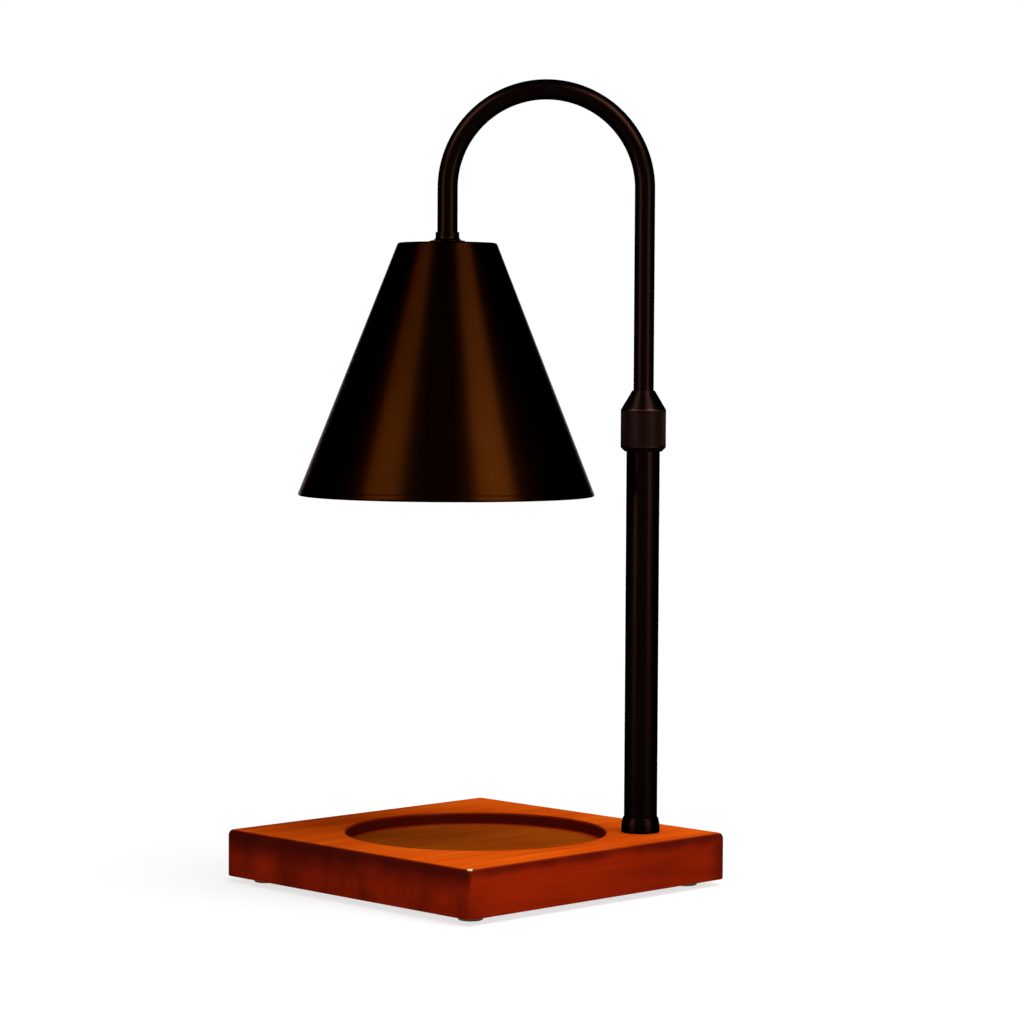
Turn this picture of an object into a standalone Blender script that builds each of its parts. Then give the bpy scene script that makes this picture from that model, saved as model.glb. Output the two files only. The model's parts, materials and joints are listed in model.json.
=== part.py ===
"""Candle warmer lamp: a shade on a curved arm that slides and turns in a post on a wooden base.

Metres, +Z up. The origin is on the floor, under the centre of the base. The square base is
set cornerwise, so its corners lie on the X and Y axes. The post stands near the +X corner,
and the arm lies in the XZ plane and carries the shade over the recess for the candle.
"""
import math

import bmesh
import bpy
from mathutils import Matrix, Vector

# Overall height, with the arm set as it is in the photo
LAMP_HEIGHT = 0.3379

# Clearances and tolerances
GAP = 0.0003
CUT_OVERRUN = 0.002
MERGE_DISTANCE = 0.000001

# Wooden base
BASE_SIDE = 0.1485
BASE_THICKNESS = 0.020
BASE_CORNER_RADIUS = 0.0015
LEAST_CORNER_SHARE = 0.2
BASE_TOP_FILLET = 0.0025
BASE_BOTTOM_FILLET = 0.001
RECESS_DEPTH = 0.0055
RECESS_RIM_FILLET = 0.0012
RECESS_FLOOR_FILLET = 0.002
RECESS_LAND = 0.0052
COUNTERBORE_DEPTH = 0.011
COUNTERBORE_ROOM = 0.0022

# Rubber feet
PAD_RADIUS = 0.005
PAD_HEIGHT = 0.002
PAD_EDGE_FILLET = 0.0006
PAD_FROM_CORNER = 0.0165

# Cord outlet in the back right side of the base
OUTLET_HEIGHT = 0.007
GROMMET_WALL = 0.0009
GROMMET_FLANGE_WIDTH = 0.0015
GROMMET_FLANGE_THICKNESS = 0.0015
GROMMET_EDGE_FILLET = 0.0005
GROMMET_LENGTH_SHARE = 0.6

# Post
POST_FROM_CORNER = 0.03554
POST_EXPOSED = 0.1605
POST_IN_COLLAR = 0.0052
POST_WALL = 0.001
PLUG_LENGTH = 0.014
STUD_SHOULDER = 0.0007
STUD_WALL = 0.002
STUD_TAIL = 0.0005
BASE_WASHER_BAND = 0.0055
BASE_WASHER_THICKNESS = 0.0016
BASE_NUT_BAND = 0.0032
BASE_NUT_HEIGHT = 0.004
NUT_EDGE_FILLET = 0.0004
FOOT_RING_HEIGHT = 0.006
FOOT_RING_BAND_HEIGHT = 0.0034
FOOT_RING_WALL = 0.0009
FOOT_RING_LIP = 0.0003

# Clamp at the top of the post
COLLAR_HEIGHT = 0.0255
COLLAR_WALL = 0.0022
COLLAR_CHAMFER = 0.0017
COLLAR_CONE_HEIGHT = 0.008
COLLAR_LIP = 0.00045
COLLAR_EDGE_FILLET = 0.0006
SPIGOT_LENGTH = 0.016
SHOULDER_THICKNESS = 0.0017
THREAD_WALL = 0.00165
THREAD_LENGTH = 0.008
COLLET_HEIGHT = 0.005
COLLET_TIP_WALL = 0.0007
COLLET_FOOT_HEIGHT = 0.0014
COLLET_SLIT = 0.0009
COLLET_SLITS = 4

# Arm
ARM_DIAMETER = 0.0085
ARM_WALL = 0.0008
ARCH_RADIUS = 0.04125
LEG_TO_SHADE = 0.021
LEG_BELOW_COLLAR = 0.040
GUIDE_WALL = 0.00115
GUIDE_LENGTH = 0.012
GUIDE_EDGE_FILLET = 0.0004
STOP_RING_WALL = 0.001
STOP_RING_HEIGHT = 0.0015
FERRULE_LENGTH = 0.008
FERRULE_FLANGE_THICKNESS = 0.0012
CORD_TAIL = 0.004

# Neck between the arm and the shade
NECK_HEIGHT = 0.0042
NECK_FLARE = 0.0026
NECK_RIM_HEIGHT = 0.0005
NECK_SLOPE_HEIGHT = 0.0005
NECK_LIP = 0.0004
NECK_FLOOR = 0.0012
NIPPLE_WALL = 0.0006
NIPPLE_IN_ARM = 0.010
NIPPLE_TAIL = 0.0012
NECK_WASHER_BAND = 0.0045
NECK_WASHER_THICKNESS = 0.001
NECK_NUT_BAND = 0.00155
NECK_NUT_HEIGHT = 0.003

# Shade
SHADE_HEIGHT = 0.1058
SHADE_RIM_RADIUS = 0.0628
SHADE_TOP_RADIUS = 0.0207
SHADE_WALL = 0.0008
SHADE_EDGE_FILLET = 0.0012
HEM_HEIGHT = 0.0025
HEM_THICKNESS = 0.0016

# Lampholder bracket and its screws
BRACKET_THICKNESS = 0.0012
BRACKET_WIDTH = 0.011
BRACKET_HEIGHT = 0.0135
BRACKET_BEND = 0.0014
SCREW_RADIUS = 0.0015
SCREW_HEAD_RADIUS = 0.0027
SCREW_HEAD_HEIGHT = 0.002
SCREW_HEAD_FILLET = 0.0008
SCREW_TAIL = 0.002
SCREW_ROOM = 0.0012
SCREW_HEAD_RECESS = 0.003

# Ceramic lampholder with twist-lock slots
HOLDER_HEIGHT = 0.020
HOLDER_WALL = 0.0015
HOLDER_WAIST = 0.0012
HOLDER_RIM_HEIGHT = 0.009
HOLDER_EDGE_FILLET = 0.0008
HOLDER_FACE_THICKNESS = 0.0027
POCKET_DEPTH = 0.011
POCKET_ROOM = 0.0005
SLOT_ROOM = 0.0004
TWIST_ANGLE = math.radians(35)
CONTACT_THICKNESS = 0.0004
CONTACT_LENGTH_SHARE = 0.6
CONTACT_WIDTH_SHARE = 0.5
LEAD_RADIUS_SHARE = 0.42
LEAD_PATH_SHARES = ((0, 0), (0.06, 0.22), (0.5, 0.5), (0.94, 0.78), (1, 1))

# Bulb
PIN_SPACING = 0.010
PIN_NECK_RADIUS = 0.0013
PIN_HEAD_RADIUS = 0.0025
PIN_NECK_LENGTH = 0.0033
PIN_HEAD_LENGTH = 0.0042
PIN_HEAD_FILLET = 0.001
PIN_IN_CAP = 0.004
BULB_LENGTH = 0.048
BULB_RADIUS = 0.025
BULB_RIM_HEIGHT = 0.003
CAP_LENGTH = 0.0155
CAP_SOCKET_DEPTH = 0.0075
CAP_WALL = 0.0026
CAP_TAPER = 0.002
CAP_EDGE_FILLET = 0.001
REFLECTOR_NECK_RADIUS = 0.0089
REFLECTOR_WALL = 0.0015
CAPSULE_RADIUS = 0.0046
CAPSULE_LENGTH = 0.025
LENS_THICKNESS = 0.0018
LENS_DOME = 0.0008

# Facets
ROUND_STEPS = 24
FINE_ROUND_STEPS = 48
SMALL_ROUND_STEPS = 14
CORD_STEPS = 12
FILLET_STEPS = 3
ARCH_STEPS = 16
CORNER_STEPS = 6
SLOT_STEPS = 5
BOWL_STEPS = 6
SMOOTH_ANGLE = math.radians(35)

# Plan of the base
base_bottom = PAD_HEIGHT + GAP
base_top = base_bottom + BASE_THICKNESS
corner_distance = BASE_SIDE * math.sqrt(2) / 2
pad_distance = corner_distance - PAD_FROM_CORNER
post_x = corner_distance - POST_FROM_CORNER
shade_x = post_x - 2 * ARCH_RADIUS

# Radii, from the arm outward to the collar
arm_radius = ARM_DIAMETER / 2
arm_bore = arm_radius - ARM_WALL
arm_clear = arm_radius + GAP
guide_radius = arm_clear + GUIDE_WALL
post_bore = guide_radius + GAP
post_radius = post_bore + POST_WALL
stud_radius = guide_radius - STUD_SHOULDER
stud_clear = stud_radius + GAP
foot_ring_radius = post_radius + GAP + FOOT_RING_WALL
thread_radius = arm_clear + THREAD_WALL
thread_clear = thread_radius + GAP
skirt_bore = post_radius + GAP
collar_radius = skirt_bore + COLLAR_WALL
recess_radius = post_x - foot_ring_radius - RECESS_LAND - RECESS_RIM_FILLET
counterbore_radius = stud_clear + BASE_WASHER_BAND + COUNTERBORE_ROOM

# Radii, from the arm inward to the cord
nipple_radius = arm_bore - GAP
nipple_bore = nipple_radius - NIPPLE_WALL
nipple_clear = nipple_radius + GAP
cord_radius = nipple_bore - GAP
lead_radius = cord_radius * LEAD_RADIUS_SHARE
lead_clear = lead_radius + GAP
grommet_bore = cord_radius + GAP
grommet_radius = grommet_bore + GROMMET_WALL
outlet_radius = grommet_radius + GAP

# Heights up the post
collar_bottom = base_top + POST_EXPOSED
collar_top = collar_bottom + COLLAR_HEIGHT
post_bottom = base_top + GAP
post_top = collar_bottom + POST_IN_COLLAR
shoulder_bottom = post_top + GAP
thread_bottom = shoulder_bottom + SHOULDER_THICKNESS
thread_top = thread_bottom + THREAD_LENGTH
collet_bottom = thread_top + GAP
arch_height = LAMP_HEIGHT - arm_radius - ARCH_RADIUS
arm_bottom = collar_bottom - LEG_BELOW_COLLAR
stop_ring_bottom = arm_bottom + GUIDE_LENGTH + GAP

# Heights under the base
washer_top = base_bottom + COUNTERBORE_DEPTH - GAP
base_nut_top = washer_top - BASE_WASHER_THICKNESS - GAP
stud_bottom = base_nut_top - BASE_NUT_HEIGHT - STUD_TAIL

# Heights down from the arm to the bulb
leg_bottom = arch_height - LEG_TO_SHADE
neck_bottom = leg_bottom - GAP - NECK_FLOOR
shade_top = neck_bottom - GAP
shade_bottom = shade_top - SHADE_HEIGHT
neck_washer_top = shade_top - SHADE_WALL - GAP
bracket_top = neck_washer_top - NECK_WASHER_THICKNESS - GAP
neck_nut_top = bracket_top - BRACKET_THICKNESS - GAP
nipple_bottom = neck_nut_top - NECK_NUT_HEIGHT - NIPPLE_TAIL
bracket_bottom = bracket_top - BRACKET_HEIGHT
holder_top = bracket_bottom - GAP
holder_bottom = holder_top - HOLDER_HEIGHT
bulb_top = holder_bottom - GAP

# Plan of the lampholder
pin_offset = PIN_SPACING / 2
pocket_radius = PIN_HEAD_RADIUS + POCKET_ROOM
entry_radius = PIN_HEAD_RADIUS + GAP
slot_radius = PIN_NECK_RADIUS + SLOT_ROOM
neck_nut_radius = (nipple_clear + NECK_NUT_BAND) / math.cos(math.pi / 6)
bracket_leg = neck_nut_radius + GAP + BRACKET_THICKNESS
screw_offset = bracket_leg + SCREW_ROOM + SCREW_RADIUS
screw_clear = SCREW_RADIUS + GAP
screw_head_clear = SCREW_HEAD_RADIUS + GAP
bracket_foot = screw_offset + SCREW_HEAD_RADIUS
holder_radius = screw_offset + screw_head_clear + HOLDER_WALL

BLACK_METAL = ((0.020, 0.011, 0.007), 0.32, 0.9)
BRONZE_METAL = ((0.045, 0.020, 0.008), 0.30, 0.95)
COLLAR_METAL = ((0.016, 0.009, 0.007), 0.55, 0.8)
RED_WOOD = ((0.30, 0.055, 0.012), 0.30, 0.0)
BLACK_RUBBER = ((0.015, 0.015, 0.015), 0.80, 0.0)
ZINC_STEEL = ((0.55, 0.55, 0.53), 0.35, 1.0)
BRASS = ((0.75, 0.52, 0.22), 0.30, 1.0)
WHITE_NYLON = ((0.75, 0.73, 0.68), 0.50, 0.0)
WHITE_CERAMIC = ((0.82, 0.80, 0.74), 0.35, 0.0)
BLACK_SLEEVE = ((0.02, 0.02, 0.02), 0.55, 0.0)
WHITE_SLEEVE = ((0.70, 0.69, 0.65), 0.55, 0.0)
SILVER_GLASS = ((0.70, 0.68, 0.62), 0.12, 0.6)
WARM_GLASS = ((0.95, 0.85, 0.62), 0.08, 0.0)


def clear_scene():
    """Leave nothing of the start-up scene."""
    for item in list(bpy.data.objects):
        bpy.data.objects.remove(item, do_unlink=True)


def principled(name, look):
    """A Principled BSDF material with a look's colour, roughness and metallic value."""
    colour, roughness, metallic = look
    material = bpy.data.materials.new(name)
    material.use_nodes = True
    shader = material.node_tree.nodes["Principled BSDF"]
    shader.inputs["Base Color"].default_value = (*colour, 1)
    shader.inputs["Roughness"].default_value = roughness
    shader.inputs["Metallic"].default_value = metallic
    return material


def add_object(name, data, look):
    """Link an object that holds the data, with a material of its own unless it has no look."""
    item = bpy.data.objects.new(name, data)
    bpy.context.scene.collection.objects.link(item)
    if look:
        data.materials.append(principled(name + "_finish", look))
    return item


def mesh_object(name, bm, look):
    """Turn a bmesh into an object, with its faces pointing out and its round faces smooth."""
    bmesh.ops.recalc_face_normals(bm, faces=bm.faces)
    mesh = bpy.data.meshes.new(name)
    bm.to_mesh(mesh)
    bm.free()
    mesh.shade_smooth()
    mesh.set_sharp_from_angle(angle=SMOOTH_ANGLE)
    return add_object(name, mesh, look)


def place(item, parent, at=(0, 0, 0), turn=(0, 0, 0)):
    """Set an object's parent and its place and rotation in the parent's frame."""
    item.parent = parent
    item.location = at
    item.rotation_euler = turn
    return item


def empty(name, parent, at=(0, 0, 0), turn=(0, 0, 0)):
    """An empty that carries other objects."""
    item = bpy.data.objects.new(name, None)
    bpy.context.scene.collection.objects.link(item)
    return place(item, parent, at, turn)


def rounded(corners, closed=True):
    """Points of an outline of corners (x, y, fillet), each fillet limited by half its sides."""
    points = []
    last = len(corners) - 1
    for index, (x, y, fillet) in enumerate(corners):
        corner = Vector((x, y))
        if not fillet or (not closed and index in (0, last)):
            points.append(corner)
            continue
        before = Vector(corners[index - 1][:2]) - corner
        after = Vector(corners[(index + 1) % len(corners)][:2]) - corner
        half_angle = before.angle(after) / 2
        reach = min(fillet / math.tan(half_angle), before.length / 2, after.length / 2)
        before.normalize()
        after.normalize()
        centre = corner + (before + after).normalized() * reach / math.cos(half_angle)
        start = corner + before * reach - centre
        end = corner + after * reach - centre
        for step in range(FILLET_STEPS + 1):
            spoke = start.normalized().slerp(end.normalized(), step / FILLET_STEPS)
            points.append(centre + spoke * start.length)
    return points


def add_lathe(bm, profile, closed, steps, centre=(0, 0)):
    """Turn a profile of (radius, height) points about a vertical axis at the centre."""
    if not closed:
        turned = [(ring(radius, steps, centre), height) for radius, height in profile if radius]
        add_loft(bm, [[(x, y, height) for x, y in points] for points, height in turned])
        return
    verts = [bm.verts.new((radius, 0, height)) for radius, height in profile]
    edges = [bm.edges.new(pair) for pair in zip(verts, verts[1:] + verts[:1])]
    bmesh.ops.spin(
        bm,
        geom=verts + edges,
        cent=(0, 0, 0),
        axis=(0, 0, 1),
        angle=math.tau,
        steps=steps,
        use_merge=True,
    )
    bmesh.ops.remove_doubles(bm, verts=bm.verts, dist=MERGE_DISTANCE)


def lathe(name, corners, look, closed=True, steps=ROUND_STEPS):
    """A turned piece. A closed outline leaves a bore, an open one runs from axis to axis, solid."""
    bm = bmesh.new()
    add_lathe(bm, rounded(corners, closed), closed, steps)
    return mesh_object(name, bm, look)


def add_loft(bm, rings, closed=False):
    """Skin rings of equally many points, with a cap at each end or joined end to start."""
    loops = [[bm.verts.new(point) for point in ring] for ring in rings]
    pairs = list(zip(loops, loops[1:]))
    if closed:
        pairs.append((loops[-1], loops[0]))
    else:
        bm.faces.new(loops[0])
        bm.faces.new(loops[-1])
    for low, high in pairs:
        for index in range(len(low)):
            following = (index + 1) % len(low)
            bm.faces.new((low[index], low[following], high[following], high[index]))


def loft(name, rings, look, closed=False):
    """An object skinned over rings of points."""
    bm = bmesh.new()
    add_loft(bm, rings, closed)
    return mesh_object(name, bm, look)


def prism(outline, low, high):
    """The two rings of an upright prism over an outline in XY."""
    return [[(x, y, height) for x, y in outline] for height in (low, high)]


def ring(radius, steps, centre=(0, 0)):
    """Points round a circle in XY."""
    angles = [math.tau * step / steps for step in range(steps)]
    x, y = centre
    return [(x + radius * math.cos(a), y + radius * math.sin(a)) for a in angles]


def cutter(name, bm, parent):
    """A cutting shape, which is drawn as wires and is no piece of the lamp."""
    item = mesh_object(name, bm, None)
    item.hide_render = True
    item.display_type = "WIRE"
    return place(item, parent)


def cut(piece, tool):
    """Take a cutter away from a piece."""
    modifier = piece.modifiers.new(tool.name, "BOOLEAN")
    modifier.operation = "DIFFERENCE"
    modifier.solver = "EXACT"
    modifier.object = tool


def hex_nut(name, bore, band, height, look, parent, top):
    """A hexagon nut with rounded edges and a plain bore, hung by its top height."""
    across = (bore + band) / math.cos(math.pi / 6)
    inner = across - NUT_EDGE_FILLET
    levels = ((inner, 0), (across, NUT_EDGE_FILLET))
    levels += ((across, height - NUT_EDGE_FILLET), (inner, height))
    rings = [[(x, y, z) for x, y in ring(radius, 6)] for radius, z in levels]
    nut = place(loft(name, rings, look), parent, (0, 0, top - height))
    bm = bmesh.new()
    add_loft(bm, prism(ring(bore, SMALL_ROUND_STEPS), -CUT_OVERRUN, height + CUT_OVERRUN))
    cut(nut, cutter(name + "_bore_cutter", bm, nut))
    return nut


def flat_ring(name, bore, radius, height, look, steps=SMALL_ROUND_STEPS):
    """A washer, ring or tube with square edges."""
    return lathe(name, ((bore, 0, 0), (radius, 0, 0), (radius, height, 0), (bore, height, 0)),
                 look, steps=steps)


def rounded_square(side, corner, inset, height):
    """A ring of points round a square with rounded corners, drawn in by the inset."""
    radius = max(corner - inset, corner * LEAST_CORNER_SHARE)
    reach = side / 2 - inset - radius
    points = []
    for quarter, (x, y) in enumerate(((1, 1), (-1, 1), (-1, -1), (1, -1))):
        for step in range(CORNER_STEPS + 1):
            angle = (quarter + step / CORNER_STEPS) * math.pi / 2
            along = x * reach + radius * math.cos(angle)
            across = y * reach + radius * math.sin(angle)
            points.append((along, across, height))
    return points


def base_rings():
    """Levels of the base: a rounded lower edge, plain sides and a rounded upper edge."""
    levels = []
    for step in range(FILLET_STEPS + 1):
        angle = math.pi / 2 * step / FILLET_STEPS
        inset = BASE_BOTTOM_FILLET * (1 - math.sin(angle))
        levels.append((inset, BASE_BOTTOM_FILLET * (1 - math.cos(angle))))
    for step in range(FILLET_STEPS + 1):
        angle = math.pi / 2 * step / FILLET_STEPS
        inset = BASE_TOP_FILLET * (1 - math.cos(angle))
        levels.append((inset, BASE_THICKNESS - BASE_TOP_FILLET * (1 - math.sin(angle))))
    return [rounded_square(BASE_SIDE, BASE_CORNER_RADIUS, *level) for level in levels]


def recess_cutter(stand):
    """The round recess for the candle, with a rounded rim and floor edge."""
    floor = base_top - RECESS_DEPTH
    top = base_top + CUT_OVERRUN
    lip = recess_radius + RECESS_RIM_FILLET
    corners = (
        (0, floor, 0),
        (recess_radius, floor, RECESS_FLOOR_FILLET),
        (recess_radius, base_top - RECESS_RIM_FILLET, 0),
    )
    profile = rounded(corners, closed=False)
    for step in range(1, FILLET_STEPS + 1):
        angle = math.pi / 2 * step / FILLET_STEPS
        radius = lip - RECESS_RIM_FILLET * math.cos(angle)
        profile.append((radius, base_top - RECESS_RIM_FILLET * (1 - math.sin(angle))))
    profile += [(lip, top), (0, top)]
    bm = bmesh.new()
    add_lathe(bm, profile, False, FINE_ROUND_STEPS)
    return cutter("recess_cutter", bm, stand)


def post_hole_cutter(post_axis):
    """The hole for the stud, with a counterbore from below for its washer and nut."""
    bm = bmesh.new()
    ceiling = base_bottom + COUNTERBORE_DEPTH
    profile = (
        (0, base_bottom - CUT_OVERRUN),
        (counterbore_radius, base_bottom - CUT_OVERRUN),
        (counterbore_radius, ceiling),
        (stud_clear, ceiling),
        (stud_clear, base_top + CUT_OVERRUN),
        (0, base_top + CUT_OVERRUN),
    )
    add_lathe(bm, profile, False, ROUND_STEPS)
    return cutter("post_hole_cutter", bm, post_axis)


def outlet_cutter(outlet_axis, depth):
    """The cord's hole, from the side of the base into the counterbore."""
    bm = bmesh.new()
    add_loft(bm, prism(ring(outlet_radius, ROUND_STEPS), -depth, CUT_OVERRUN))
    return cutter("outlet_cutter", bm, outlet_axis)


def build_base(stand, post_axis):
    """The wooden base, its rubber feet and the grommet in its cord outlet."""
    base = place(loft("wood_base", base_rings(), RED_WOOD), stand, (0, 0, base_bottom))
    base.rotation_euler.z = math.pi / 4
    to_side = POST_FROM_CORNER / math.sqrt(2)
    outlet_at = (to_side / math.sqrt(2), to_side / math.sqrt(2), base_bottom + OUTLET_HEIGHT)
    outlet_axis = empty("outlet_axis", post_axis, outlet_at, (0, math.pi / 2, math.pi / 4))
    cut(base, recess_cutter(stand))
    cut(base, post_hole_cutter(post_axis))
    cut(base, outlet_cutter(outlet_axis, to_side))
    build_feet(stand)
    build_grommet(outlet_axis, (to_side - counterbore_radius) * GROMMET_LENGTH_SHARE)


def build_feet(stand):
    """Four rubber pads under the corners, which share one mesh."""
    corners = ((0, 0, 0), (PAD_RADIUS, 0, PAD_EDGE_FILLET), (PAD_RADIUS, PAD_HEIGHT, 0))
    corners += ((0, PAD_HEIGHT, 0),)
    right = lathe("foot_pad_right", corners, BLACK_RUBBER, False, SMALL_ROUND_STEPS)
    place(right, stand, (pad_distance, 0, 0))
    for name, x, y in (("back", 0, 1), ("left", -1, 0), ("front", 0, -1)):
        pad = add_object("foot_pad_" + name, right.data, None)
        place(pad, stand, (x * pad_distance, y * pad_distance, 0))


def build_grommet(outlet_axis, length):
    """A rubber grommet whose flange lies on the side of the base."""
    flange = grommet_radius + GROMMET_FLANGE_WIDTH
    face = GAP + GROMMET_FLANGE_THICKNESS
    corners = (
        (grommet_bore, -length, 0),
        (grommet_radius, -length, 0),
        (grommet_radius, GAP, 0),
        (flange, GAP, 0),
        (flange, face, GROMMET_EDGE_FILLET),
        (grommet_bore, face, GROMMET_EDGE_FILLET),
    )
    grommet = lathe("cord_grommet", corners, BLACK_RUBBER, steps=SMALL_ROUND_STEPS)
    place(grommet, outlet_axis)


def build_post(post_axis):
    """The post tube, the ring at its foot, and the stud, washer and nut that hold it."""
    length = post_top - post_bottom
    tube = flat_ring("post_tube", post_bore, post_radius, length, BLACK_METAL, ROUND_STEPS)
    place(tube, post_axis, (0, 0, post_bottom))
    inner = post_radius + GAP
    ring_corners = (
        (inner, 0, 0),
        (foot_ring_radius, 0, 0),
        (foot_ring_radius, FOOT_RING_BAND_HEIGHT, FOOT_RING_WALL / 2),
        (inner + FOOT_RING_LIP, FOOT_RING_HEIGHT, 0),
        (inner, FOOT_RING_HEIGHT, 0),
    )
    place(lathe("post_foot_ring", ring_corners, BLACK_METAL), post_axis, (0, 0, post_bottom))
    shank = post_bottom - stud_bottom
    stud_corners = (
        (stud_radius - STUD_WALL, 0, 0),
        (stud_radius, 0, 0),
        (stud_radius, shank, 0),
        (guide_radius, shank, 0),
        (guide_radius, shank + PLUG_LENGTH, 0),
        (stud_radius - STUD_WALL, shank + PLUG_LENGTH, 0),
    )
    stud = lathe("post_stud", stud_corners, ZINC_STEEL, steps=SMALL_ROUND_STEPS)
    place(stud, post_axis, (0, 0, stud_bottom))
    washer_radius = stud_clear + BASE_WASHER_BAND
    thickness = BASE_WASHER_THICKNESS
    washer = flat_ring("base_washer", stud_clear, washer_radius, thickness, ZINC_STEEL)
    place(washer, post_axis, (0, 0, washer_top - thickness))
    hex_nut("base_nut", stud_clear, BASE_NUT_BAND, BASE_NUT_HEIGHT, ZINC_STEEL, post_axis,
            base_nut_top)


def build_clamp_bush(post_axis):
    """The bush in the top of the post, with a spigot, a shoulder and a threaded barrel."""
    shoulder = SPIGOT_LENGTH
    barrel = shoulder + SHOULDER_THICKNESS
    top = barrel + THREAD_LENGTH
    corners = (
        (arm_clear, 0, 0),
        (guide_radius, 0, 0),
        (guide_radius, shoulder, 0),
        (post_radius, shoulder, 0),
        (post_radius, barrel, 0),
        (thread_radius, barrel, 0),
        (thread_radius, top, 0),
        (arm_clear, top, 0),
    )
    bush = lathe("clamp_bush", corners, BRASS)
    place(bush, post_axis, (0, 0, shoulder_bottom - SPIGOT_LENGTH))


def build_collet(post_axis):
    """A tapered nylon ring, slit into fingers, that the collar closes on the arm."""
    tip = arm_clear + COLLET_TIP_WALL
    corners = (
        (arm_clear, 0, 0),
        (thread_radius, 0, 0),
        (tip, COLLET_HEIGHT, 0),
        (arm_clear, COLLET_HEIGHT, 0),
    )
    collet = place(lathe("clamp_collet", corners, WHITE_NYLON), post_axis, (0, 0, collet_bottom))
    bm = bmesh.new()
    low, high = COLLET_FOOT_HEIGHT, COLLET_HEIGHT + CUT_OVERRUN
    near, far, half = arm_clear - CUT_OVERRUN, thread_radius + CUT_OVERRUN, COLLET_SLIT / 2
    outline = ((near, -half), (far, -half), (far, half), (near, half))
    for index in range(COLLET_SLITS):
        turn = Matrix.Rotation(math.tau * index / COLLET_SLITS, 3, "Z")
        rings = prism(outline, low, high)
        add_loft(bm, [[turn @ Vector(point) for point in loop] for loop in rings])
    cut(collet, cutter("collet_slit_cutter", bm, collet))


def build_collar(collar_axis):
    """The clamp collar: a skirt over the post, a threaded bore and a cone for the collet."""
    skirt_top = thread_bottom + GAP - collar_bottom
    cone_bottom = collet_bottom + GAP - collar_bottom
    cone_top = cone_bottom + COLLET_HEIGHT + GAP
    shoulder = COLLAR_HEIGHT - COLLAR_CONE_HEIGHT
    corners = (
        (skirt_bore, 0, 0),
        (collar_radius - COLLAR_CHAMFER, 0, 0),
        (collar_radius, COLLAR_CHAMFER, COLLAR_EDGE_FILLET),
        (collar_radius, shoulder, COLLAR_EDGE_FILLET),
        (arm_clear + COLLAR_LIP, COLLAR_HEIGHT, 0),
        (arm_clear, COLLAR_HEIGHT, 0),
        (arm_clear, cone_top, 0),
        (arm_clear + COLLET_TIP_WALL + GAP, cone_top, 0),
        (thread_clear, cone_bottom, 0),
        (thread_clear, skirt_top, 0),
        (skirt_bore, skirt_top, 0),
    )
    collar = lathe("clamp_collar", corners, COLLAR_METAL)
    place(collar, collar_axis, (0, 0, collar_bottom))


def arm_path():
    """Centre points of the arm in XZ, from its lower end, over the arch, to its shade end."""
    centre = post_x - ARCH_RADIUS
    points = [(post_x, arm_bottom)]
    for step in range(ARCH_STEPS + 1):
        angle = math.pi * step / ARCH_STEPS
        x = centre + ARCH_RADIUS * math.cos(angle)
        points.append((x, arch_height + ARCH_RADIUS * math.sin(angle)))
    points.append((shade_x, leg_bottom))
    return points


def path_rings(path, radius, steps):
    """Rings of points round a path in XZ, square to it, in the frame of the arm's axis."""
    rings = []
    for index, (x, z) in enumerate(path):
        before = Vector(path[max(index - 1, 0)])
        after = Vector(path[min(index + 1, len(path) - 1)])
        along = (after - before).normalized()
        across = Vector((along.y, 0, -along.x))
        centre = Vector((x - post_x, 0, z))
        points = [across * u + Vector((0, v, 0)) for u, v in ring(radius, steps)]
        rings.append([centre + point for point in points])
    return rings


def build_arm(arm_axis):
    """The bent arm tube, the stop ring and ferrule at its lower end, and the cord in it."""
    path = arm_path()
    outside = path_rings(path, arm_radius, ROUND_STEPS)
    inside = path_rings(path, arm_bore, ROUND_STEPS)
    place(loft("arm_tube", outside + inside[::-1], BLACK_METAL, closed=True), arm_axis)
    stop_radius = arm_clear + STOP_RING_WALL
    stop = flat_ring("arm_stop_ring", arm_clear, stop_radius, STOP_RING_HEIGHT, ZINC_STEEL)
    place(stop, arm_axis, (0, 0, stop_ring_bottom))
    build_ferrule(arm_axis, stop_radius)
    cord_bottom = arm_bottom - GAP - FERRULE_FLANGE_THICKNESS - CORD_TAIL
    route = [(post_x, cord_bottom)] + path[1:-1] + [(shade_x, nipple_bottom)]
    cord = loft("arm_cord", path_rings(route, cord_radius, CORD_STEPS), BLACK_SLEEVE)
    place(cord, arm_axis)


def build_ferrule(arm_axis, flange_radius):
    """The ferrule in the arm's lower end, which guards the cord and keeps the guide bush on."""
    bore = cord_radius + GAP
    flange_top = FERRULE_FLANGE_THICKNESS
    top = flange_top + FERRULE_LENGTH
    corners = (
        (bore, 0, 0),
        (flange_radius, 0, 0),
        (flange_radius, flange_top, 0),
        (nipple_radius, flange_top, 0),
        (nipple_radius, top, 0),
        (bore, top, 0),
    )
    ferrule = lathe("arm_ferrule", corners, WHITE_NYLON, steps=SMALL_ROUND_STEPS)
    place(ferrule, arm_axis, (0, 0, arm_bottom - GAP - flange_top))


def build_guide(slider_axis):
    """The guide bush that runs in the post's bore. The arm turns inside it."""
    corners = (
        (arm_clear, 0, 0),
        (guide_radius, 0, GUIDE_EDGE_FILLET),
        (guide_radius, GUIDE_LENGTH, GUIDE_EDGE_FILLET),
        (arm_clear, GUIDE_LENGTH, 0),
    )
    guide = lathe("arm_guide_bush", corners, WHITE_NYLON, steps=SMALL_ROUND_STEPS)
    place(guide, slider_axis, (0, 0, arm_bottom))


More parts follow.
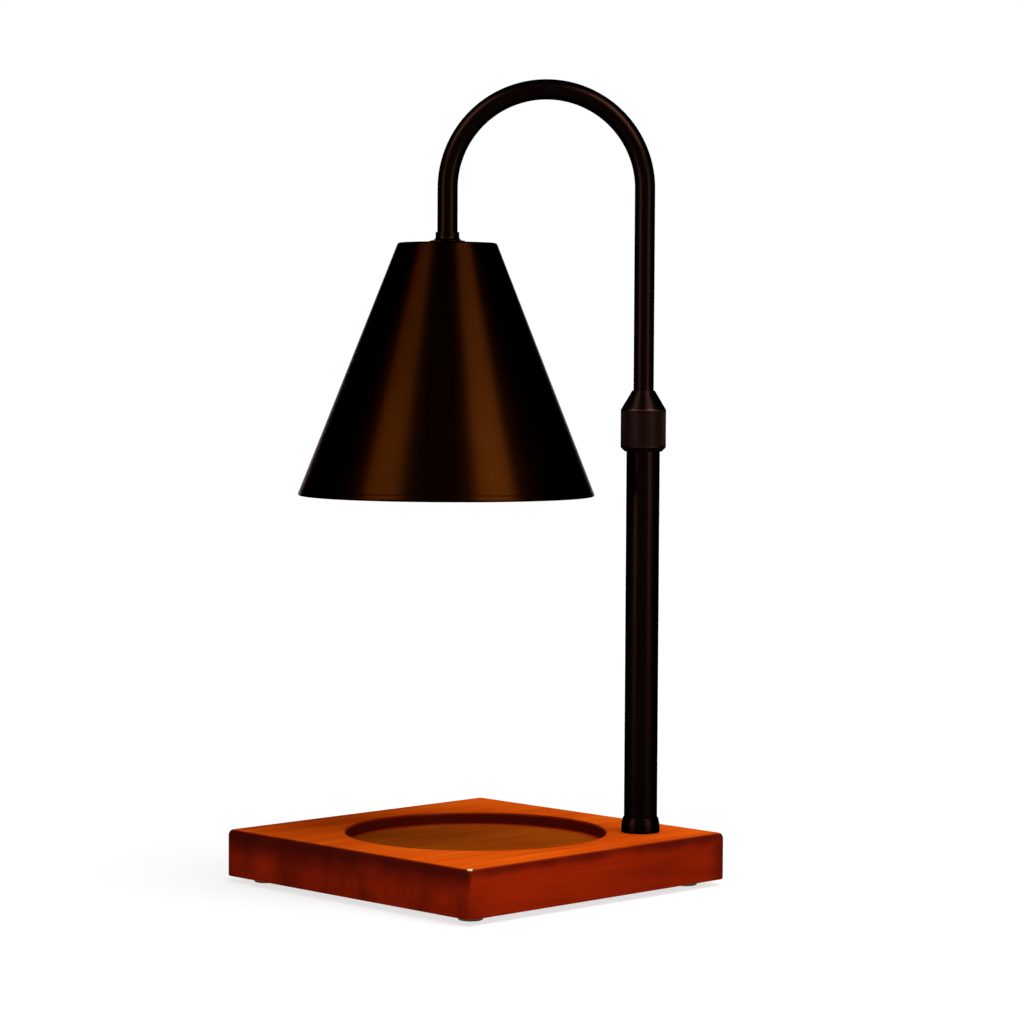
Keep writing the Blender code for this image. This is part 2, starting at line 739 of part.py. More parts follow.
def build_neck(shade_axis):
    """The flared neck cap, and the hollow nipple, washer and nut that hold the shade on."""
    top = arm_clear + NECK_LIP
    rim = top + NECK_FLARE
    cap_corners = (
        (nipple_clear, 0, 0),
        (rim, 0, 0),
        (rim, NECK_RIM_HEIGHT, 0),
        (top, NECK_RIM_HEIGHT + NECK_SLOPE_HEIGHT, NECK_FLARE),
        (top, NECK_HEIGHT, 0),
        (arm_clear, NECK_HEIGHT, 0),
        (arm_clear, NECK_FLOOR, 0),
        (nipple_clear, NECK_FLOOR, 0),
    )
    place(lathe("neck_cap", cap_corners, BLACK_METAL), shade_axis, (0, 0, neck_bottom))
    length = leg_bottom + NIPPLE_IN_ARM - nipple_bottom
    nipple = flat_ring("neck_nipple", nipple_bore, nipple_radius, length, ZINC_STEEL)
    place(nipple, shade_axis, (0, 0, nipple_bottom))
    washer_radius = nipple_clear + NECK_WASHER_BAND
    thickness = NECK_WASHER_THICKNESS
    washer = flat_ring("neck_washer", nipple_clear, washer_radius, thickness, ZINC_STEEL)
    place(washer, shade_axis, (0, 0, neck_washer_top - thickness))
    hex_nut("neck_nut", nipple_clear, NECK_NUT_BAND, NECK_NUT_HEIGHT, ZINC_STEEL, shade_axis,
            neck_nut_top)


def build_shade(shade_axis):
    """The spun shade: a thin cone with a flat top, a hole for the nipple and a hemmed rim."""
    lean = (SHADE_RIM_RADIUS - SHADE_TOP_RADIUS) / SHADE_HEIGHT
    across = SHADE_WALL * math.hypot(1, lean)
    hem_across = HEM_THICKNESS * math.hypot(1, lean)
    under = SHADE_HEIGHT - SHADE_WALL
    hem_radius = SHADE_RIM_RADIUS - lean * HEM_HEIGHT
    corners = (
        (SHADE_RIM_RADIUS, 0, HEM_THICKNESS / 2),
        (SHADE_TOP_RADIUS, SHADE_HEIGHT, SHADE_EDGE_FILLET),
        (nipple_clear, SHADE_HEIGHT, 0),
        (nipple_clear, under, 0),
        (SHADE_TOP_RADIUS + lean * SHADE_WALL - across, under, SHADE_WALL / 2),
        (hem_radius - across, HEM_HEIGHT, 0),
        (hem_radius - hem_across, HEM_HEIGHT, 0),
        (SHADE_RIM_RADIUS - hem_across, 0, HEM_THICKNESS / 2),
    )
    shade = lathe("shade", corners, BRONZE_METAL, steps=FINE_ROUND_STEPS)
    place(shade, shade_axis, (0, 0, shade_bottom))


def build_bracket(shade_axis):
    """The lampholder's bracket: a strap bent down on both sides, with feet turned out."""
    leg, foot, thickness = bracket_leg, bracket_foot, BRACKET_THICKNESS
    outer, inner = BRACKET_BEND + thickness / 2, BRACKET_BEND - thickness / 2
    half = (
        (leg, BRACKET_HEIGHT, outer),
        (leg, thickness, inner),
        (foot, thickness, 0),
        (foot, 0, 0),
        (leg - thickness, 0, outer),
        (leg - thickness, BRACKET_HEIGHT - thickness, inner),
    )
    other = [(-x, z, fillet) for x, z, fillet in reversed(half)]
    outline = rounded(half + tuple(other))
    sides = (-BRACKET_WIDTH / 2, BRACKET_WIDTH / 2)
    rings = [[(x, side, z) for x, z in outline] for side in sides]
    bracket = place(loft("holder_bracket", rings, ZINC_STEEL), shade_axis, (0, 0, bracket_bottom))
    bm = bmesh.new()
    low, high = -CUT_OVERRUN, thickness + CUT_OVERRUN
    for x in (-screw_offset, screw_offset):
        add_loft(bm, prism(ring(screw_clear, SMALL_ROUND_STEPS, (x, 0)), low, high))
    low, high = BRACKET_HEIGHT - thickness - CUT_OVERRUN, BRACKET_HEIGHT + CUT_OVERRUN
    add_loft(bm, prism(ring(nipple_clear, ROUND_STEPS), low, high))
    cut(bracket, cutter("bracket_hole_cutter", bm, bracket))


def arc_slot(middle, half_width, start, sweep):
    """The outline of a round-ended slot that follows an arc about the origin."""
    end = start + sweep
    outer = slot_side(middle + half_width, start, sweep)
    inner = slot_side(middle - half_width, end, -sweep)
    outer_end = slot_end(middle, half_width, end, end)
    inner_end = slot_end(middle, half_width, start, start + math.pi)
    return outer + outer_end + inner + inner_end


def slot_side(radius, start, sweep):
    """Points along one side of a slot, an arc about the origin."""
    angles = [start + sweep * step / SLOT_STEPS for step in range(SLOT_STEPS + 1)]
    return [(radius * math.cos(a), radius * math.sin(a)) for a in angles]


def slot_end(middle, half_width, place_angle, first_angle):
    """Points round one end of a slot, between its two sides."""
    x, y = middle * math.cos(place_angle), middle * math.sin(place_angle)
    angles = [first_angle + math.pi * step / SLOT_STEPS for step in range(1, SLOT_STEPS)]
    return [(x + half_width * math.cos(a), y + half_width * math.sin(a)) for a in angles]


def holder_cutters(holder):
    """Slots, pockets and entries for the pins, and holes for the screws and the leads."""
    locked = (math.pi / 2, math.pi * 3 / 2)
    slots, pockets, entries = bmesh.new(), bmesh.new(), bmesh.new()
    screws, leads = bmesh.new(), bmesh.new()
    face, deep, over = HOLDER_FACE_THICKNESS, POCKET_DEPTH, CUT_OVERRUN
    for angle in locked:
        first = angle - TWIST_ANGLE
        slot = arc_slot(pin_offset, slot_radius, first, TWIST_ANGLE)
        pocket = arc_slot(pin_offset, pocket_radius, first, TWIST_ANGLE)
        entry = (pin_offset * math.cos(first), pin_offset * math.sin(first))
        lead = (pin_offset * math.cos(angle), pin_offset * math.sin(angle))
        add_loft(slots, prism(slot, -over, face + GAP))
        add_loft(pockets, prism(pocket, face, deep))
        add_loft(entries, prism(ring(entry_radius, SMALL_ROUND_STEPS, entry), -over, face + GAP))
        lead_ring = ring(lead_clear, SMALL_ROUND_STEPS, lead)
        add_loft(leads, prism(lead_ring, deep - GAP, HOLDER_HEIGHT + over))
    profile = (
        (0, -over),
        (screw_head_clear, -over),
        (screw_head_clear, SCREW_HEAD_RECESS),
        (screw_clear, SCREW_HEAD_RECESS),
        (screw_clear, HOLDER_HEIGHT + over),
        (0, HOLDER_HEIGHT + over),
    )
    for x in (-screw_offset, screw_offset):
        add_lathe(screws, profile, False, SMALL_ROUND_STEPS, (x, 0))
    shapes = {"slot": slots, "pocket": pockets, "entry": entries, "screw": screws, "lead": leads}
    for name, bm in shapes.items():
        cut(holder, cutter("holder_" + name + "_cutter", bm, holder))


def build_holder(shade_axis):
    """The ceramic lampholder, with undercut slots that lock the bulb's headed pins."""
    waist = holder_radius - HOLDER_WAIST
    rim, top = HOLDER_RIM_HEIGHT, HOLDER_HEIGHT
    corners = (
        (0, 0, 0),
        (holder_radius, 0, HOLDER_EDGE_FILLET),
        (holder_radius, rim, HOLDER_EDGE_FILLET),
        (waist, rim + HOLDER_WAIST, 0),
        (waist, top, HOLDER_EDGE_FILLET),
        (0, top, 0),
    )
    holder = lathe("lamp_holder", corners, WHITE_CERAMIC, closed=False)
    holder_cutters(place(holder, shade_axis, (0, 0, holder_bottom)))


def build_screws(shade_axis):
    """Two screws that hold the lampholder on its bracket from below."""
    top = holder_bottom + SCREW_HEAD_RECESS - GAP
    tail = bracket_bottom + BRACKET_THICKNESS + SCREW_TAIL - top
    corners = (
        (0, -SCREW_HEAD_HEIGHT, 0),
        (SCREW_HEAD_RADIUS, -SCREW_HEAD_HEIGHT, SCREW_HEAD_FILLET),
        (SCREW_HEAD_RADIUS, 0, 0),
        (SCREW_RADIUS, 0, 0),
        (SCREW_RADIUS, tail, 0),
        (0, tail, 0),
    )
    left = lathe("holder_screw_left", corners, ZINC_STEEL, False, SMALL_ROUND_STEPS)
    right = add_object("holder_screw_right", left.data, None)
    place(left, shade_axis, (-screw_offset, 0, top))
    place(right, shade_axis, (screw_offset, 0, top))


def build_contacts(shade_axis):
    """A folded brass spring over each pin, in the top of its pocket."""
    top = holder_bottom + POCKET_DEPTH - GAP
    bottom = bulb_top + PIN_NECK_LENGTH + PIN_HEAD_LENGTH + GAP
    height, thin = top - bottom, CONTACT_THICKNESS
    reach = pocket_radius * CONTACT_LENGTH_SHARE
    side = pocket_radius * CONTACT_WIDTH_SHARE
    corners = (
        (-reach, 0, 0),
        (reach, 0, height / 2),
        (reach, height, height / 2),
        (-reach, height, 0),
        (-reach, height - thin, 0),
        (reach - thin, height - thin, height / 2 - thin),
        (reach - thin, thin, height / 2 - thin),
        (-reach, thin, 0),
    )
    outline = rounded(corners)
    rings = [[(x, y, z) for x, z in outline] for y in (-side, side)]
    front = loft("holder_contact_front", rings, BRASS)
    back = add_object("holder_contact_back", front.data, None)
    place(front, shade_axis, (0, -pin_offset, bottom))
    place(back, shade_axis, (0, pin_offset, bottom), (0, 0, math.pi))


def lead_curve(name, side, look, shade_axis):
    """A sleeved lead from the end of the cord, bent over to its hole in the lampholder."""
    start = Vector((0, side * lead_clear, nipple_bottom - GAP))
    end = Vector((0, side * pin_offset, holder_top + lead_radius))
    inside = holder_bottom + POCKET_DEPTH + GAP
    route = [start + Vector((0, (end - start).y * y, (end - start).z * z))
             for y, z in LEAD_PATH_SHARES]
    route.append(Vector((0, side * pin_offset, inside)))
    curve = bpy.data.curves.new(name, "CURVE")
    curve.dimensions = "3D"
    curve.bevel_depth = lead_radius
    curve.bevel_resolution = 2
    curve.use_fill_caps = True
    curve.render_resolution_u = 0
    spline = curve.splines.new("POLY")
    spline.points.add(len(route) - 1)
    for point, at in zip(spline.points, route):
        point.co = (*at, 1)
    place(add_object(name, curve, look), shade_axis)


def build_bulb(bulb_axis):
    """The reflector bulb: cap, two headed pins, reflector, inner capsule and front lens."""
    build_cap(bulb_axis)
    build_pins(bulb_axis)
    build_reflector(bulb_axis)
    top = bulb_top - CAP_SOCKET_DEPTH - REFLECTOR_WALL
    capsule_corners = (
        (0, -CAPSULE_LENGTH, 0),
        (CAPSULE_RADIUS, -CAPSULE_LENGTH, CAPSULE_RADIUS),
        (CAPSULE_RADIUS, 0, 0),
        (0, 0, 0),
    )
    capsule = lathe("bulb_capsule", capsule_corners, WARM_GLASS, False, SMALL_ROUND_STEPS)
    place(capsule, bulb_axis, (0, 0, top))
    lens_radius = BULB_RADIUS - REFLECTOR_WALL - GAP
    lens_corners = []
    for step in range(FILLET_STEPS + 1):
        out = step / FILLET_STEPS
        lens_corners.append((lens_radius * out, LENS_DOME * (out * out - 1), 0))
    lens_corners += [(lens_radius, LENS_THICKNESS, 0), (0, LENS_THICKNESS, 0)]
    lens = lathe("bulb_lens", lens_corners, WARM_GLASS, closed=False)
    place(lens, bulb_axis, (0, 0, bulb_top - BULB_LENGTH + LENS_DOME))


def build_cap(bulb_axis):
    """The bulb's ceramic cap, with a socket for the reflector's neck and holes for the pins."""
    socket = REFLECTOR_NECK_RADIUS + GAP
    outside = socket + CAP_WALL
    corners = (
        (0, 0, 0),
        (outside - CAP_TAPER, 0, CAP_EDGE_FILLET),
        (outside, -CAP_LENGTH, 0),
        (socket, -CAP_LENGTH, 0),
        (socket, -CAP_SOCKET_DEPTH, 0),
        (0, -CAP_SOCKET_DEPTH, 0),
    )
    cap = place(lathe("bulb_cap", corners, WHITE_CERAMIC, closed=False), bulb_axis,
                (0, 0, bulb_top))
    bm = bmesh.new()
    for y in (-pin_offset, pin_offset):
        hole = ring(PIN_NECK_RADIUS + GAP, SMALL_ROUND_STEPS, (0, y))
        add_loft(bm, prism(hole, -PIN_IN_CAP - GAP, CUT_OVERRUN))
    cut(cap, cutter("cap_pin_cutter", bm, cap))


def build_pins(bulb_axis):
    """Two pins with wide heads, which hang on the face of the lampholder."""
    neck, head = PIN_NECK_LENGTH, PIN_NECK_LENGTH + PIN_HEAD_LENGTH
    corners = (
        (0, -PIN_IN_CAP, 0),
        (PIN_NECK_RADIUS, -PIN_IN_CAP, 0),
        (PIN_NECK_RADIUS, neck, 0),
        (PIN_HEAD_RADIUS, neck, 0),
        (PIN_HEAD_RADIUS, head, PIN_HEAD_FILLET),
        (0, head, 0),
    )
    front = lathe("bulb_pin_front", corners, ZINC_STEEL, False, SMALL_ROUND_STEPS)
    back = add_object("bulb_pin_back", front.data, None)
    place(front, bulb_axis, (0, -pin_offset, bulb_top))
    place(back, bulb_axis, (0, pin_offset, bulb_top))


def bowl(neck_radius, neck_depth, rim_radius, rim_depth):
    """A quarter ellipse from the neck of the reflector down to its rim."""
    points = []
    for step in range(BOWL_STEPS + 1):
        angle = math.pi / 2 * step / BOWL_STEPS
        radius = neck_radius + (rim_radius - neck_radius) * math.sin(angle)
        depth = rim_depth + (neck_depth - rim_depth) * math.cos(angle)
        points.append((radius, depth, 0))
    return points


def build_reflector(bulb_axis):
    """The glass reflector: a neck in the cap, a bowl and a short straight rim."""
    neck_top = -CAP_SOCKET_DEPTH - GAP
    bore = CAPSULE_RADIUS + GAP
    rim_top = -BULB_LENGTH + BULB_RIM_HEIGHT
    inner_rim = BULB_RADIUS - REFLECTOR_WALL
    outside = bowl(REFLECTOR_NECK_RADIUS, -CAP_LENGTH, BULB_RADIUS, rim_top)
    inside = bowl(bore, -CAP_LENGTH - REFLECTOR_WALL, inner_rim, rim_top)
    corners = [(bore, neck_top, 0), (REFLECTOR_NECK_RADIUS, neck_top, 0)]
    corners += outside
    corners += [(BULB_RADIUS, -BULB_LENGTH, 0), (inner_rim, -BULB_LENGTH, 0)]
    corners += inside[::-1]
    reflector = lathe("bulb_reflector", corners, SILVER_GLASS)
    place(reflector, bulb_axis, (0, 0, bulb_top))


def build_lamp():
    """Every piece, under empties that stand on the axes of the joints."""
    clear_scene()
    stand = empty("stand", None)
    post_axis = empty("post_axis", stand, (post_x, 0, 0))
    collar_axis = empty("collar_axis", post_axis)
    slider_axis = empty("slider_axis", post_axis)
    arm_axis = empty("arm_axis", slider_axis)
    shade_axis = empty("shade_axis", arm_axis, (shade_x - post_x, 0, 0))
    bulb_axis = empty("bulb_axis", shade_axis)
    build_base(stand, post_axis)
    build_post(post_axis)
    build_clamp_bush(post_axis)
    build_collet(post_axis)
    build_collar(collar_axis)
    build_guide(slider_axis)
    build_arm(arm_axis)
    build_neck(shade_axis)
    build_shade(shade_axis)
    build_bracket(shade_axis)
    build_holder(shade_axis)
    build_screws(shade_axis)
    build_contacts(shade_axis)
    lead_curve("lead_front", -1, BLACK_SLEEVE, shade_axis)
    lead_curve("lead_back", 1, WHITE_SLEEVE, shade_axis)
    build_bulb(bulb_axis)


build_lamp()
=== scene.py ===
# %% [markdown]
# # A candle warmer lamp
#
# The lamp melts the wax of a jar candle from above. A bronzed shade with a reflector bulb
# hangs from a hooked tube, the tube slides and turns in a post, and the post stands on a
# square of stained wood with a round recess for the jar.
#
# The construction is finished and fixed: it comes in as a frame of bodies and nodes. This
# file gives it its looks. Fine turned, bent and knurled surfaces take the place of the
# coarse ones, and every surface gets a finish built from nodes. All lengths are metres.

import json
import math

import bmesh
import bpy
from mathutils import Matrix, Vector


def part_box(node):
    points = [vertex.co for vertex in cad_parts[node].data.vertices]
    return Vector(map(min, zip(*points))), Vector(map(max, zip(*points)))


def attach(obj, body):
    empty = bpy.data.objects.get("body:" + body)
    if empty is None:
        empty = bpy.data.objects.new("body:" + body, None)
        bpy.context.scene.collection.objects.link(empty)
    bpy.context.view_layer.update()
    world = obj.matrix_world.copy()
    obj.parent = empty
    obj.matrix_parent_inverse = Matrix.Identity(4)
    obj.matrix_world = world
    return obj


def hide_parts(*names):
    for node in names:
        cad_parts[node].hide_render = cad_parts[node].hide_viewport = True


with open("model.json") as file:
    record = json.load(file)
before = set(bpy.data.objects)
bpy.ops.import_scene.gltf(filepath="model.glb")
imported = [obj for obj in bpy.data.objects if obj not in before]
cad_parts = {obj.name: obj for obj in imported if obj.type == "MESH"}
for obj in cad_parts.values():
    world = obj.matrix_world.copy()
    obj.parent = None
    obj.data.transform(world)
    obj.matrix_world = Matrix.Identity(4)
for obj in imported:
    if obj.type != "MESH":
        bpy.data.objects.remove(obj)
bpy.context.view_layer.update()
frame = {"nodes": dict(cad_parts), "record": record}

# %% [markdown]
# ## The camera
#
# The picture was taken with a long lens from a little above the shade's rim. The place, the
# turn and the focal length follow from the corners of the base and the ends of the shade's
# rim. One could aim a camera with a Track To constraint, but a plain matrix built from yaw,
# pitch and roll keeps the three angles readable.

# %% Camera
CAMERA_PLACE = Vector((0.0292, -1.372, 0.2258))
CAMERA_YAW = math.radians(-0.61)
CAMERA_PITCH = math.radians(2.87)
CAMERA_ROLL = math.radians(0.307)
FOCAL_LENGTH = 115.0


def camera_turn(yaw, pitch, roll):
    """The rotation whose columns are the camera's right, up and back."""
    forward = Vector((math.sin(yaw) * math.cos(pitch), math.cos(yaw) * math.cos(pitch),
                      -math.sin(pitch)))
    level = Vector((math.cos(yaw), -math.sin(yaw), 0))
    above = level.cross(forward)
    right = level * math.cos(roll) + above * math.sin(roll)
    up = above * math.cos(roll) - level * math.sin(roll)
    return Matrix((right, up, -forward)).transposed()


camera_data = bpy.data.cameras.new("camera")
camera_data.lens = FOCAL_LENGTH
camera = bpy.data.objects.new("camera", camera_data)
turn = camera_turn(CAMERA_YAW, CAMERA_PITCH, CAMERA_ROLL)
camera.matrix_world = Matrix.Translation(CAMERA_PLACE) @ turn.to_4x4()
bpy.context.scene.collection.objects.link(camera)
bpy.context.scene.camera = camera
print("camera at", [round(value, 3) for value in CAMERA_PLACE])

# %% [markdown]
# ## Node trees as expressions
#
# A finish is a small program: noise, masks and mixes. Written as raw nodes and links it is
# hard to read, so one class wraps a socket and lets Python's operators add the Math nodes.
# A second class holds the tree and adds every other node through one method, which sets the
# node's settings first and then its sockets. Geometry Nodes trees use the same two classes.

# %% Sockets and trees
class Wire:
    """An output socket. Arithmetic on it adds Math nodes to its tree."""

    def __init__(self, tree, socket):
        self.tree = tree
        self.socket = socket

    def math(self, operation, *values):
        """A Math node on the values, in order."""
        return self.tree.node("ShaderNodeMath", {"operation": operation}, dict(enumerate(values)))

    def __add__(self, other):
        return self.math("ADD", self, other)

    def __sub__(self, other):
        return self.math("SUBTRACT", self, other)

    def __rsub__(self, other):
        return self.math("SUBTRACT", other, self)

    def __mul__(self, other):
        return self.math("MULTIPLY", self, other)

    def __truediv__(self, other):
        return self.math("DIVIDE", self, other)

    def __getitem__(self, name):
        """Another output of the same node."""
        return Wire(self.tree, self.socket.node.outputs[name])

    __radd__ = __add__
    __rmul__ = __mul__


class Tree:
    """A node tree that is filled by one method."""

    def __init__(self, data):
        self.data = data

    def node(self, kind, settings=None, sockets=None):
        """Add a node: its settings first, then the values or links of its sockets."""
        node = self.data.nodes.new(kind)
        for name, value in (settings or {}).items():
            if name == "stops":
                set_stops(node.color_ramp, value)
            else:
                setattr(node, name, value)
        for name, value in (sockets or {}).items():
            socket = find_socket(node.inputs, name)
            if isinstance(value, Wire):
                self.data.links.new(value.socket, socket)
            else:
                socket.default_value = value
        shown = [socket for socket in node.outputs if socket.enabled]
        return Wire(self, shown[0]) if shown else node


def find_socket(sockets, name):
    """A socket by its number or by its name. A hidden twin of the same name is passed over."""
    if isinstance(name, int):
        return sockets[name]
    return next(socket for socket in sockets if socket.name == name and socket.enabled)


def set_stops(ramp, stops):
    """Give a colour ramp its stops, each a place from 0 to 1 and a colour."""
    while len(ramp.elements) < len(stops):
        ramp.elements.new(1)
    for element, (place, colour) in zip(ramp.elements, stops):
        element.position = place
        element.color = (*colour, 1)


print("node helpers are ready")

# %% [markdown]
# ## Words that the finishes share
#
# Every finish reads Object coordinates. The pieces stay at the origin with their place in
# their mesh, so the coordinates are real metres on the lamp, and a grain or a speck has the
# same size on all of them.

# %% Texture helpers
class Finish(Tree):
    """A material's tree, with the textures and masks that the finishes use."""

    def __init__(self, name):
        self.material = bpy.data.materials.new(name)
        self.material.use_nodes = True
        super().__init__(self.material.node_tree)
        self.data.nodes.clear()
        self.place = self.node("ShaderNodeTexCoord")["Object"]

    def mapped(self, where, scale=(1, 1, 1), turn=0.0, shift=(0, 0, 0)):
        """The coordinates moved, turned about Z and scaled."""
        values = {"Vector": where, "Location": shift, "Rotation": (0, 0, turn), "Scale": scale}
        return self.node("ShaderNodeMapping", {}, values)

    def noise(self, where, scale, detail=3.0, roughness=0.5):
        """Noise from 0 to 1 with so many waves in a metre."""
        values = {"Vector": where, "Scale": scale, "Detail": detail, "Roughness": roughness}
        return self.node("ShaderNodeTexNoise", {}, values)

    def rise(self, value, start, end):
        """A smooth step from 0 at the start to 1 at the end."""
        values = {"Value": value, "From Min": start, "From Max": end}
        return self.node("ShaderNodeMapRange", {"interpolation_type": "SMOOTHSTEP"}, values)

    def mix(self, factor, first, second, how="MIX"):
        """Two colours, mixed or multiplied by the factor."""
        values = {"Factor": factor}
        for name, colour in (("A", first), ("B", second)):
            values[name] = colour if isinstance(colour, Wire) else (*colour, 1)
        return self.node("ShaderNodeMix", {"data_type": "RGBA", "blend_type": how}, values)

    def split(self, vector):
        """The three parts of a vector."""
        parts = self.node("ShaderNodeSeparateXYZ", {}, {"Vector": vector})
        return parts, parts["Y"], parts["Z"]

    def joined(self, x, y, z):
        """A vector of three values."""
        return self.node("ShaderNodeCombineXYZ", {}, {"X": x, "Y": y, "Z": z})

    def bump(self, height, depth, strength=1.0):
        """A normal from a height, where a height of 1 is so many metres deep."""
        values = {"Height": height, "Distance": depth, "Strength": strength}
        return self.node("ShaderNodeBump", {}, values)

    def shade(self, **sockets):
        """Close the tree with a Principled shader. Sockets are named with underscores."""
        values = {}
        for name, value in sockets.items():
            words = name.replace("_", " ").title().replace("Ior", "IOR")
            values[words] = (*value, 1) if isinstance(value, tuple) and len(value) == 3 else value
        shader = self.node("ShaderNodeBsdfPrincipled", {}, values)
        self.node("ShaderNodeOutputMaterial", {}, {"Surface": shader})
        return self.material


print("texture helpers are ready")

# %% [markdown]
# ## Stained and lacquered wood
#
# The base is one board of a fine-grained wood under a red-brown stain. The grain runs along
# one pair of sides, so it is noise drawn out along that direction, and the other pair shows
# end grain, which the stain blotches darker. The top is painted lighter and the sides darker:
# painted light and shade. The wood is also darker along the rounded upper edges and towards
# the upright corners. Masks on the coordinates and on the surface's direction give all that.
# At the very point of the front corner sits a pale painted highlight. The floor of the recess
# is more matt, and it is painted browner and darker as shade. Its wall is painted dark as
# shade, and a thin red band at the wall's foot is painted bounce light.

# %% Wood sizes
base_low, base_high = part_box("wood_base")
foot_low, foot_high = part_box("post_foot_ring")
post_x = (foot_low.x + foot_high.x) / 2
RECESS_LAND = 0.0052
RECESS_RIM_FILLET = 0.0012
BASE_CORNER_RADIUS = 0.0015
TOP_FILLET = 0.0025
TIP_INSET = 0.0018
recess_radius = foot_low.x - RECESS_LAND - RECESS_RIM_FILLET
recess_floor = frame["record"]["mounts"][1]["pos_m"][2]
base_side = 2 * ((base_high.x - BASE_CORNER_RADIUS) / math.sqrt(2) + BASE_CORNER_RADIUS)
print("base side:", round(base_side, 4), "recess radius:", round(recess_radius, 4))


# %% Stain colours, painted light and shade, and reaches
# Painted light and shade: the top's tones are lit ones and the sides' tones are shaded ones.
LIT_TOP_TONES = ((0.25, (0.40, 0.034, 0.0016)), (0.5, (0.62, 0.074, 0.0030)),
             (0.75, (0.80, 0.125, 0.0060)))
SHADED_SIDE_TONES = ((0.25, (0.14, 0.0060, 0.0006)), (0.75, (0.36, 0.0185, 0.0011)))
BLOTCH = (0.085, 0.0050, 0.0006)
# Painted shade: a tint that darkens and browns the recess floor.
RECESS_SHADE = (0.55, 0.80, 1.0)
# Painted bounce light: a thin red band at the foot of the recess wall.
SEAM_BOUNCE_LIGHT = (0.42, 0.030, 0.0030)
# Painted shade on the recess wall.
WALL_SHADE = (0.030, 0.0020, 0.0010)
# Darker along the rounded upper edges and towards the upright corners.
EDGE_DARKENING = (0.040, 0.0020, 0.0013)
PORE = (0.06, 0.004, 0.001)
# Painted highlight: a pale spot on the front corner's point.
TIP_HIGHLIGHT = (0.85, 0.66, 0.26)
CORNER_REACH = (0.013, 0.001)
EDGE_REACH = (0.0100, 0.0012)
RAGGEDNESS = 0.010
print("stain tones on top:", len(LIT_TOP_TONES), "on the sides:", len(SHADED_SIDE_TONES))


# %% Stain masks and painted light masks
def stain_masks(wood, along):
    """Masks: sides, end grain, darker edges, recess, and painted shade, bounce light and
    highlight.
    """
    x, y, z = wood.split(along)
    normal = wood.node("ShaderNodeTexCoord")["Normal"]
    across, lengthways, _ = wood.split(wood.mapped(normal, turn=math.pi / 4))
    end_face = wood.rise(lengthways.math("ABSOLUTE", lengthways), 0.25, 0.85)
    long_face = wood.rise(across.math("ABSOLUTE", across), 0.25, 0.85)
    side = end_face.math("MAXIMUM", end_face, long_face)
    from_x = base_side / 2 - x.math("ABSOLUTE", x)
    from_y = base_side / 2 - y.math("ABSOLUTE", y)
    corner = wood.rise(from_x, *CORNER_REACH) * wood.rise(from_y, *CORNER_REACH)
    from_axis = x.math("SQRT", x * x + y * y)
    rim = recess_radius + RECESS_RIM_FILLET
    outside = wood.rise(from_axis, rim + 0.0002, rim + 0.0012)
    drop = base_high.z - z
    ragged = drop + (wood.noise(along, 34, 3) - 0.5) * RAGGEDNESS
    ragged = ragged * (1.7 - end_face)
    edge = wood.rise(ragged, *EDGE_REACH) * wood.rise(drop, 0.00002, 0.0006) * outside
    patchy = wood.rise(wood.noise(wood.mapped(along, shift=(0.4, 0.1, 0)), 13, 1), 0.36, 0.6)
    # Darker along the rounded upper edges and towards the upright corners.
    darker_edges = edge * (end_face * 0.15 + 0.8)
    darker_edges = darker_edges.math("MAXIMUM", darker_edges, corner * side * patchy * 0.75)
    sunk = wood.rise(from_axis, rim - 0.0004, recess_radius - 0.0004)
    sunk = sunk * wood.rise(drop, 0.0003, 0.0015)
    sunk = sunk * wood.rise(z, recess_floor - 0.003, recess_floor - 0.001)
    # Where the recess wall gets its painted shade.
    wall = wood.rise(from_axis, recess_radius - 0.0012, recess_radius - 0.0002) * sunk
    # Where the painted bounce light runs at the foot of the recess wall.
    seam = wood.rise(from_axis, recess_radius - 0.0034, recess_radius - 0.0016) * sunk
    # Where the painted highlight sits on the front corner's point.
    to_tip = (base_side / 2 - TIP_INSET - x, base_side / 2 - TIP_INSET + y, drop - 0.0002)
    highlight_spot = wood.rise(sum(part.math("ABSOLUTE", part) for part in to_tip), 0.0020, 0.0009)
    return side, end_face, darker_edges, sunk, wall, seam, highlight_spot


